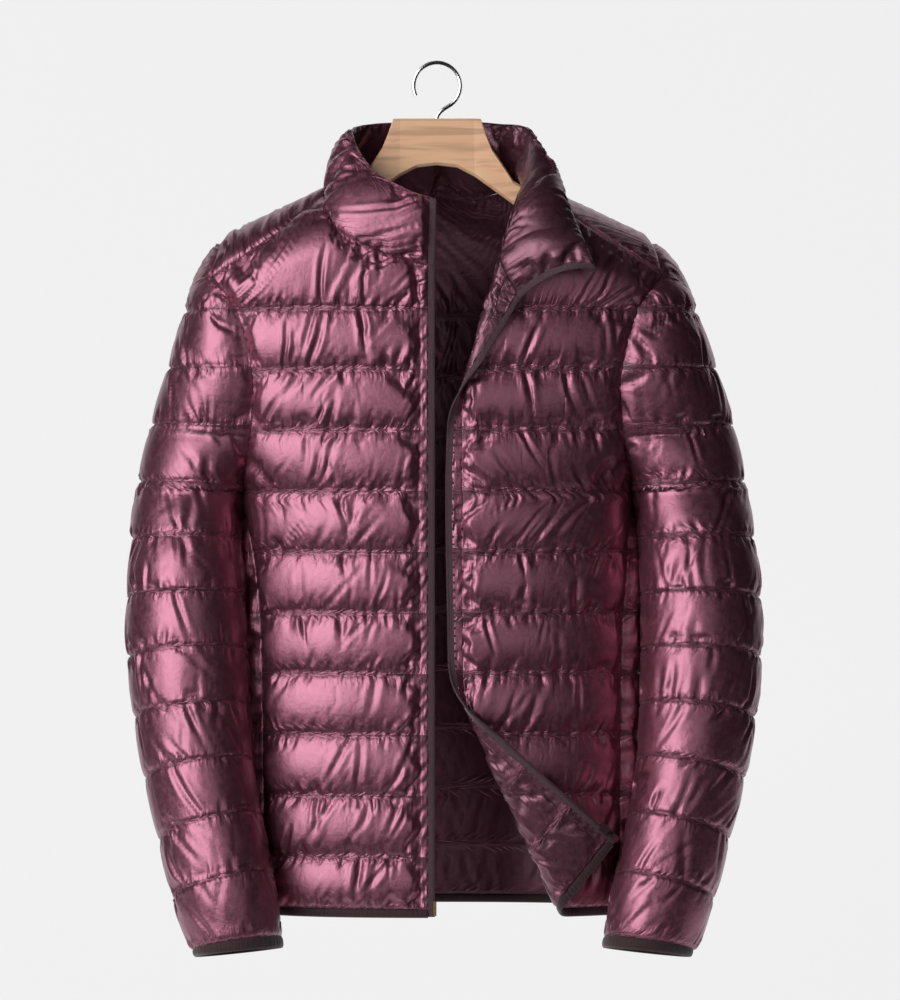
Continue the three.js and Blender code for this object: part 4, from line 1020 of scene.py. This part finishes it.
class Finish:
    """A material with a Principled shader, and the few nodes that shape its surface."""

    def __init__(self, name, colour, roughness, metallic=0.0, **values):
        self.material = bpy.data.materials.new(name)
        self.material.use_nodes = True
        self.tree = self.material.node_tree
        self.shader = self.tree.nodes["Principled BSDF"]
        self.coordinates = self.tree.nodes.new("ShaderNodeTexCoord")
        self.shader.inputs["Base Color"].default_value = (*colour, 1.0)
        self.shader.inputs["Roughness"].default_value = roughness
        self.shader.inputs["Metallic"].default_value = metallic
        for label, value in values.items():
            self.shader.inputs[label.replace("_", " ")].default_value = value

    def group(self, name, by="Object", **values):
        node = self.tree.nodes.new("ShaderNodeGroup")
        node.node_tree = bpy.data.node_groups[name]
        self.tree.links.new(self.coordinates.outputs[by], node.inputs["Vector"])
        for label, value in values.items():
            node.inputs[label].default_value = value
        return node

    def bump(self, height, distance, strength=1.0, under=None):
        node = self.tree.nodes.new("ShaderNodeBump")
        node.inputs["Strength"].default_value = strength
        node.inputs["Distance"].default_value = distance
        self.tree.links.new(height, node.inputs["Height"])
        if under is not None:
            self.tree.links.new(under, node.inputs["Normal"])
        return node.outputs[0]

    def ramp(self, fac, stops, socket="Base Color"):
        node = self.tree.nodes.new("ShaderNodeValToRGB")
        elements = node.color_ramp.elements
        for k, (at, colour) in enumerate(stops):
            element = elements[k] if k < 2 else elements.new(at)
            element.position = at
            element.color = (*colour, 1.0)
        self.tree.links.new(fac, node.inputs[0])
        self.tree.links.new(node.outputs[0], self.shader.inputs[socket])

    def uneven(self, fac, smoother, rougher):
        self.ramp(fac, [(0.3, (smoother,) * 3), (0.7, (rougher,) * 3)], "Roughness")

    def normal(self, output):
        self.tree.links.new(output, self.shader.inputs["Normal"])
        return self.material


def shade(colour, by):
    return tuple(min(1.0, max(0.0, c * by)) for c in colour[:3])


def nylon_finish(name, colour, roughness, metallic):
    """Glossy woven nylon: fine creases, and threads that dull the highlights a little."""
    finish = Finish(name, colour, roughness, metallic, Coat_Weight=0.45, Coat_Roughness=0.34)
    crinkle = finish.group("Crinkle", Scale=170.0)
    weave = finish.group("Plain weave", Threads=2400.0)
    finish.ramp(crinkle.outputs["Patches"], [(0.3, shade(colour, 0.86)), (0.7, shade(colour, 1.12))])
    finish.uneven(crinkle.outputs["Patches"], roughness - 0.05, roughness + 0.06)
    gathers = finish.group("Gathers", "UV")
    creases = finish.bump(crinkle.outputs["Height"], 0.0006, 0.5, finish.bump(gathers.outputs["Height"], 0.004))
    return finish.normal(finish.bump(weave.outputs["Height"], 0.00004, 0.5, creases))


def ribbed_finish(name, colour, threads, roughness=0.75):
    """Matt knitted or woven trim."""
    finish = Finish(name, colour, roughness, Sheen_Weight=0.4, Sheen_Roughness=0.5)
    weave = finish.group("Plain weave", Threads=threads)
    crinkle = finish.group("Crinkle", Scale=420.0)
    finish.ramp(crinkle.outputs["Patches"], [(0.25, shade(colour, 0.7)), (0.75, shade(colour, 1.25))])
    return finish.normal(finish.bump(weave.outputs["Height"], 0.00025, 0.8))


def metal_finish(name, colour, roughness, metallic=1.0):
    finish = Finish(name, colour, roughness, metallic)
    crinkle = finish.group("Crinkle", Scale=900.0)
    finish.ramp(crinkle.outputs["Patches"], [(0.35, shade(colour, 0.8)), (0.65, shade(colour, 1.1))])
    finish.uneven(crinkle.outputs["Patches"], roughness * 0.8, roughness * 1.25)
    return finish.normal(finish.bump(crinkle.outputs["Height"], 0.00003, 0.4))


def wood_finish(name, light, dark):
    finish = Finish(name, light, 0.38, Coat_Weight=0.35, Coat_Roughness=0.18)
    grain = finish.group("Wood grain")
    finish.ramp(grain.outputs["Grain"], [(0.34, dark), (0.5, light), (0.68, shade(light, 1.12))])
    return finish.normal(finish.bump(grain.outputs["Pores"], 0.0001, 0.5))


def material(name):
    """A finish of this jacket by name, made the first time that it is asked for."""
    if name in bpy.data.materials:
        return bpy.data.materials[name]
    if not bpy.data.node_groups:
        crinkle_group()
        gather_group()
        weave_group()
        grain_group()
    colours = bpy.context.scene.jacket_colours
    shell = tuple(colours.shell)
    makers = {
        "Outer nylon": lambda: nylon_finish(name, shell, 0.42, 0.85),
        "Lining nylon": lambda: nylon_finish(name, shade(shell, 0.55), 0.42, 0.75),
        "Elastic binding": lambda: ribbed_finish(name, tuple(colours.binding), 900.0),
        "Zip tape": lambda: ribbed_finish(name, tuple(colours.tape), 1300.0),
        "Zip coil": lambda: metal_finish(name, shade(colours.tape, 0.75), 0.5, 0.15),
        "Sewing thread": lambda: ribbed_finish(name, shade(shell, 0.4), 2000.0, 0.6),
        "Lacquered zip metal": lambda: metal_finish(name, tuple(colours.metal), 0.35, 0.75),
        "Worn brass": lambda: metal_finish(name, (0.62, 0.43, 0.2), 0.3),
        "Lacquered beech": lambda: wood_finish(name, tuple(colours.wood), shade(colours.wood, 0.72)),
        "Hook steel": lambda: metal_finish(name, (0.62, 0.62, 0.64), 0.22),
    }
    return makers[name]()


# ---------------------------------------------------------------- settings
class JacketCloth(bpy.types.PropertyGroup):
    """How full and how loose the quilted pieces are."""

    loft: bpy.props.FloatProperty(
        name="Loft", description="How far a channel stands out before it is filled",
        default=0.0055, min=0.002, max=0.015, unit="LENGTH", subtype="DISTANCE")
    spare: bpy.props.FloatProperty(
        name="Spare cloth", description="Share of cloth beyond the piece's own size, which puckers at the seams",
        default=0.11, min=0.0, max=0.3, subtype="FACTOR")
    pressure: bpy.props.FloatProperty(
        name="Filling pressure", description="Pressure of the down in the channels",
        default=3.0, min=0.0, max=30.0)
    stiffness: bpy.props.FloatProperty(
        name="Stiffness", description="Resistance of the cloth to bending", default=0.006, min=0.0, max=1.0)
    frames: bpy.props.IntProperty(
        name="Frames", description="Length of the simulation", default=20, min=1, max=60)


class JacketColours(bpy.types.PropertyGroup):
    """Colours of the finishes."""

    shell: bpy.props.FloatVectorProperty(
        name="Shell", description="Nylon of the quilted pieces", subtype="COLOR", size=3,
        default=(0.32, 0.11, 0.17), min=0, max=1)
    binding: bpy.props.FloatVectorProperty(
        name="Binding", description="Elastic at hem and cuffs", subtype="COLOR", size=3,
        default=(0.03, 0.006, 0.012), min=0, max=1)
    tape: bpy.props.FloatVectorProperty(
        name="Zip tape", description="Woven tape of the zip", subtype="COLOR", size=3,
        default=(0.075, 0.032, 0.045), min=0, max=1)
    metal: bpy.props.FloatVectorProperty(
        name="Zip metal", description="Lacquer of the slider, pull and box", subtype="COLOR", size=3,
        default=(0.16, 0.09, 0.11), min=0, max=1)
    wood: bpy.props.FloatVectorProperty(
        name="Hanger", description="Beech of the hanger", subtype="COLOR", size=3,
        default=(1.0, 0.58, 0.34), min=0, max=1)


class JacketSewing(bpy.types.PropertyGroup):
    """Sizes of the stitches and of the zip's coil."""

    stitch: bpy.props.FloatProperty(
        name="Stitch length", description="Distance from one stitch to the next",
        default=0.0028, min=0.0015, max=0.006, unit="LENGTH", subtype="DISTANCE")
    tooth: bpy.props.FloatProperty(
        name="Coil pitch", description="Distance from one turn of the zip's coil to the next",
        default=0.002, min=0.0012, max=0.006, unit="LENGTH", subtype="DISTANCE")


class JacketStage(bpy.types.PropertyGroup):
    """Floor, lights and camera."""

    floor: bpy.props.FloatVectorProperty(
        name="Floor", description="Colour of the floor and backdrop", subtype="COLOR", size=3,
        default=(0.05, 0.05, 0.05), min=0, max=1)
    key: bpy.props.FloatProperty(
        name="Key light", description="Power of the soft light at the upper left",
        default=205.0, min=0.0, unit="POWER")
    fill: bpy.props.FloatProperty(
        name="Fill light", description="Power of the soft light at the right", default=14.0, min=0.0, unit="POWER")
    lens: bpy.props.FloatProperty(
        name="Lens", description="Focal length in millimetres", default=165.0, min=20.0, max=400.0)
    distance: bpy.props.FloatProperty(
        name="Distance", description="From the camera to the hanger's plane",
        default=4.5, min=1.0, max=20.0, unit="LENGTH", subtype="DISTANCE")


# ---------------------------------------------------------------- operators
def quilted(quilts, sides):
    """Fills the sides of some quilts that are asked for, and returns the points of both sides of each."""
    look = bpy.context.scene.jacket_cloth
    loft = look.loft / MM
    results, sheets, waiting = {}, [], []
    for name, quilt in quilts.items():
        for side in (1, -1):
            height, rough = sides[name][side]
            points = quilt.surface(height * loft, side, rough=abs(rough))
            limit = quilt.limit
            results[name, side] = quilt.creased(points, side)
            if rough < 0:
                continue
            sheets.append(cloth_grid(f"{name}_{side}", points, quilt.sewn, side < 0))
            waiting.append((name, side, limit))
    for (name, side, limit), points in zip(waiting, filled(sheets, look) if sheets else ()):
        quilt = quilts[name]
        quilt.side, quilt.limit = side, limit
        points = quilt.settled(points.reshape(quilt.grid.shape))
        results[name, side] = quilt.creased(points, side)
    return results


def finish_quilt(name, node, quilt, outer, inner):
    piece = shell_object(
        name, outer, inner, quilt.joined, quilt.place, [material("Outer nylon"), material("Lining nylon")])
    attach(piece, "jacket")
    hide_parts(node)
    return piece


def sewn_rows(quilt, outer):
    """Lines of the shell that carry stitches, with their normals."""
    normal = normals(outer, quilt.joined)
    rows = [k for k in range(1, len(outer) - 1) if quilt.sewn[k, 3:-3].all()]
    return [(outer[k], normal[k]) for k in rows]


SEAMS = {"body": [], "sleeves": [], "collar": []}


# Share of the loft and roughness of each side's start. A roughness below 0 marks a side that isn't filled.
BODY_SIDES = {
    "right_front": {1: (1.0, 0.5), -1: (0.1, -0.3)},
    "back_panel": {1: (1.0, 0.5), -1: (0.2, -0.5)},
    "left_front": {1: (1.0, 0.5), -1: (0.25, 0.5)},
}
SLEEVE_SIDES = {1: (0.35, 0.5), -1: (0.1, -0.3)}
BODY_PIECES = {"right_front": "right_front_quilt", "left_front": "left_front_quilt", "back_panel": "back_quilt"}


class JACKET_OT_body(bpy.types.Operator):
    """Make the back and the two fronts"""

    bl_idname = "jacket.body"
    bl_label = "Body panels"

    def execute(self, context):
        quilts = body_quilts()
        points = quilted(quilts, BODY_SIDES)
        for name, quilt in quilts.items():
            finish_quilt(BODY_PIECES[name], name, quilt, points[name, 1], points[name, -1])
            SEAMS["body"] += sewn_rows(quilt, points[name, 1])
        return {"FINISHED"}


class JACKET_OT_sleeves(bpy.types.Operator):
    """Make the two sleeves"""

    bl_idname = "jacket.sleeves"
    bl_label = "Sleeves"

    def execute(self, context):
        quilts = sleeve_quilts()
        points = quilted(quilts, dict.fromkeys(quilts, SLEEVE_SIDES))
        for name, quilt in quilts.items():
            finish_quilt(name + "_quilt", name, quilt, points[name, 1], points[name, -1])
            SEAMS["sleeves"] += sewn_rows(quilt, points[name, 1])
        return {"FINISHED"}


class JACKET_OT_collar(bpy.types.Operator):
    """Make the collar"""

    bl_idname = "jacket.collar"
    bl_label = "Collar"

    def execute(self, context):
        quilt = collar_quilt()
        loft = context.scene.jacket_cloth.loft / MM
        sides = {"collar": {1: (COLLAR_LOFT[0] / loft, 0.5), -1: (COLLAR_LOFT[1] / loft, 0.5)}}
        points = quilted({"collar": quilt}, sides)
        finish_quilt("collar_quilt", "collar", quilt, points["collar", 1], points["collar", -1])
        return {"FINISHED"}


class JACKET_OT_bindings(bpy.types.Operator):
    """Make the elastic bindings of the hem and the cuffs"""

    bl_idname = "jacket.bindings"
    bl_label = "Bindings"

    def execute(self, context):
        binding = [material("Elastic binding"), material("Elastic binding")]
        levels = HEM_LINE - SEAM_GAP - HEM_BINDING * steps(6)
        pieces = [("hem_binding", "hem_band", [hem_path(z) for z in levels], None, (1.010, 0.0105))]
        for side, swing in (("right", 0), ("left", 1)):
            levels = CUFF_Z - SEAM_GAP - CUFF_BINDING * steps(6)
            rings = np.array([sleeve_ring(z, swing, 260) for z in levels])
            if swing:
                rings = rings[:, ::-1] * [-1, 1, 1]
            pieces.append((side + "_cuff", side + "_cuff_band", rings, np.ones(7, bool), (0.255, 0.011)))
        for seed, (node, name, rows, joined, flat) in enumerate(pieces):
            piece = band(name, rows, 1.25, 0.35, 40 + seed, joined, binding)
            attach(piece, "jacket")
            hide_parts(node)
        return {"FINISHED"}


class JACKET_OT_zip(bpy.types.Operator):
    """Make the zip's tapes and coil, and finish its metal pieces"""

    bl_idname = "jacket.zip"
    bl_label = "Zip"

    def execute(self, context):
        pitch = context.scene.jacket_sewing.tooth / MM
        tooth = primitive_template(np.array([2.4, 1.1, 1.9]), 0.7)
        for side in ("right", "left"):
            edge, away = edge_ribbon(side)
            grid = np.array([edge + away * reach for reach in TAPE_REACHES])
            normal = normals(grid)
            tape = shell_object(
                side + "_tape", grid + normal * TAPE_WALL * 0.8, grid - normal * TAPE_WALL * 0.8, None,
                steps(len(TAPE_REACHES) - 1), [material("Zip tape"), material("Zip tape")])
            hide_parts(side + "_zip_tape")
            coil_line = edge + away * (TAPE_WIDTH - 1.0)
            places = seam_places(coil_line, normal[-1], pitch, 0.0)
            coil = solid_copies(side + "_coil", tooth, places, material("Zip coil"))
            for piece in (tape, coil):
                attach(piece, "jacket")
        for node, finish in (
            ("zip_slider", "Lacquered zip metal"), ("zip_pull", "Lacquered zip metal"),
            ("zip_retainer", "Lacquered zip metal"), ("zip_pin", "Worn brass"),
        ):
            dress(node, finish)
        return {"FINISHED"}


def dress(node, finish):
    """Gives a CAD node its finish."""
    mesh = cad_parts[node].data
    mesh.materials.clear()
    mesh.materials.append(material(finish))


class JACKET_OT_stitches(bpy.types.Operator):
    """Sew the stitch lines of the quilting"""

    bl_idname = "jacket.stitches"
    bl_label = "Stitches"

    def execute(self, context):
        pitch = context.scene.jacket_sewing.stitch / MM
        stitch = primitive_template(np.array([0.5, 2.0, 0.45]), 0.5)
        for name, lines in SEAMS.items():
            places = [place for points, normal in lines for place in seam_places(points, normal, pitch, 0.1)]
            if not places:
                continue
            piece = solid_copies(name + "_stitches", stitch, places, material("Sewing thread"))
            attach(piece, "jacket")
        return {"FINISHED"}


class JACKET_OT_hanger(bpy.types.Operator):
    """Finish the hanger and its hook"""

    bl_idname = "jacket.hanger"
    bl_label = "Hanger"

    def execute(self, context):
        dress("hanger_body", "Lacquered beech")
        dress("hanger_hook", "Hook steel")
        return {"FINISHED"}


AIM = (0, 0, -0.42)
LAMPS = (("key", (-3.1, -3.4, 0.9), 3.8), ("fill", (1.0, -4.8, 0.3), 2.2))  # name, place, size
PAPER_GLOW = 0.83
WORLD_LIGHT = 0.015
CAMERA_HEIGHT = -0.464
CAMERA_SHIFT = (0.013, 0.037)


class JACKET_OT_stage(bpy.types.Operator):
    """Set the floor, lights and camera"""

    bl_idname = "jacket.stage"
    bl_label = "Stage"

    def execute(self, context):
        stage = context.scene.jacket_stage
        bpy.ops.object.select_all(action="DESELECT")
        bpy.ops.mesh.primitive_plane_add(size=1.0, location=(0, 0, 0))
        floor = context.active_object
        floor.name = "floor"
        floor.data.transform(Matrix.Translation((0, 0.8, -1.3)) @ Matrix.Diagonal((4.0, 2.4, 1.0, 1.0)))
        bpy.ops.object.mode_set(mode="EDIT")
        shape = bmesh.from_edit_mesh(floor.data)
        for part in (*shape.faces, *shape.edges, *shape.verts):
            part.select_set(False)
        for edge in shape.edges:
            edge.select_set(all(v.co.y > 1.9 for v in edge.verts))
        bpy.ops.mesh.extrude_region_move(TRANSFORM_OT_translate={"value": (0, 0, 3.0)})
        bpy.ops.object.mode_set(mode="OBJECT")
        bevel = floor.modifiers.new("Sweep", "BEVEL")
        bevel.width = 0.6
        bevel.segments = 12
        bpy.ops.object.modifier_apply(modifier="Sweep")
        bpy.ops.object.shade_smooth()
        paper = Finish("Pale paper", tuple(stage.floor), 0.9)
        paper.shader.inputs["Emission Color"].default_value = (1, 1, 1, 1)
        paper.shader.inputs["Emission Strength"].default_value = PAPER_GLOW
        floor.data.materials.append(paper.material)
        for name, place, size in LAMPS:
            bpy.ops.object.light_add(type="AREA", location=place)
            lamp = context.active_object
            lamp.name = name
            lamp.data.energy = getattr(stage, name)
            lamp.data.size = size
            lamp.rotation_euler = (Vector(AIM) - Vector(place)).to_track_quat("-Z", "Y").to_euler()
        world = bpy.data.worlds.new("Studio")
        world.use_nodes = True
        world.node_tree.nodes["Background"].inputs["Color"].default_value = (1, 1, 1, 1)
        world.node_tree.nodes["Background"].inputs["Strength"].default_value = WORLD_LIGHT
        context.scene.world = world
        bpy.ops.object.camera_add(location=(0, -stage.distance, CAMERA_HEIGHT), rotation=(math.pi / 2, 0, 0))
        camera = context.active_object
        camera.data.lens = stage.lens
        camera.data.shift_x, camera.data.shift_y = CAMERA_SHIFT
        context.scene.camera = camera
        context.scene.view_settings.view_transform = "Standard"
        return {"FINISHED"}


class JACKET_PT_panel(bpy.types.Panel):
    """Settings and pieces of the jacket"""

    bl_idname = "JACKET_PT_panel"
    bl_label = "Puffer jacket"
    bl_space_type = "VIEW_3D"
    bl_region_type = "UI"
    bl_category = "Jacket"

    def draw(self, context):
        for group, names in (
            (context.scene.jacket_cloth, ("loft", "spare", "pressure", "stiffness", "frames")),
            (context.scene.jacket_colours, ("shell", "binding", "tape", "metal", "wood")),
            (context.scene.jacket_sewing, ("stitch", "tooth")),
            (context.scene.jacket_stage, ("floor", "key", "fill", "lens", "distance")),
        ):
            box = self.layout.box()
            for name in names:
                box.prop(group, name)
        for operator in OPERATORS:
            self.layout.operator(operator.bl_idname)


OPERATORS = (
    JACKET_OT_body, JACKET_OT_sleeves, JACKET_OT_collar, JACKET_OT_bindings, JACKET_OT_zip,
    JACKET_OT_stitches, JACKET_OT_hanger, JACKET_OT_stage,
)
SETTINGS = {
    "jacket_cloth": JacketCloth, "jacket_colours": JacketColours,
    "jacket_sewing": JacketSewing, "jacket_stage": JacketStage,
}


def register():
    for kind in (*SETTINGS.values(), *OPERATORS, JACKET_PT_panel):
        bpy.utils.register_class(kind)
    for name, kind in SETTINGS.items():
        setattr(bpy.types.Scene, name, bpy.props.PointerProperty(type=kind))


def unregister():
    for name in SETTINGS:
        delattr(bpy.types.Scene, name)
    for kind in (JACKET_PT_panel, *OPERATORS, *SETTINGS.values()):
        bpy.utils.unregister_class(kind)


def main():
    register()
    bpy.ops.jacket.body()
    bpy.ops.jacket.sleeves()
    bpy.ops.jacket.collar()
    bpy.ops.jacket.bindings()
    bpy.ops.jacket.zip()
    bpy.ops.jacket.stitches()
    bpy.ops.jacket.hanger()
    bpy.ops.jacket.stage()


if __name__ == "__main__":
    main()
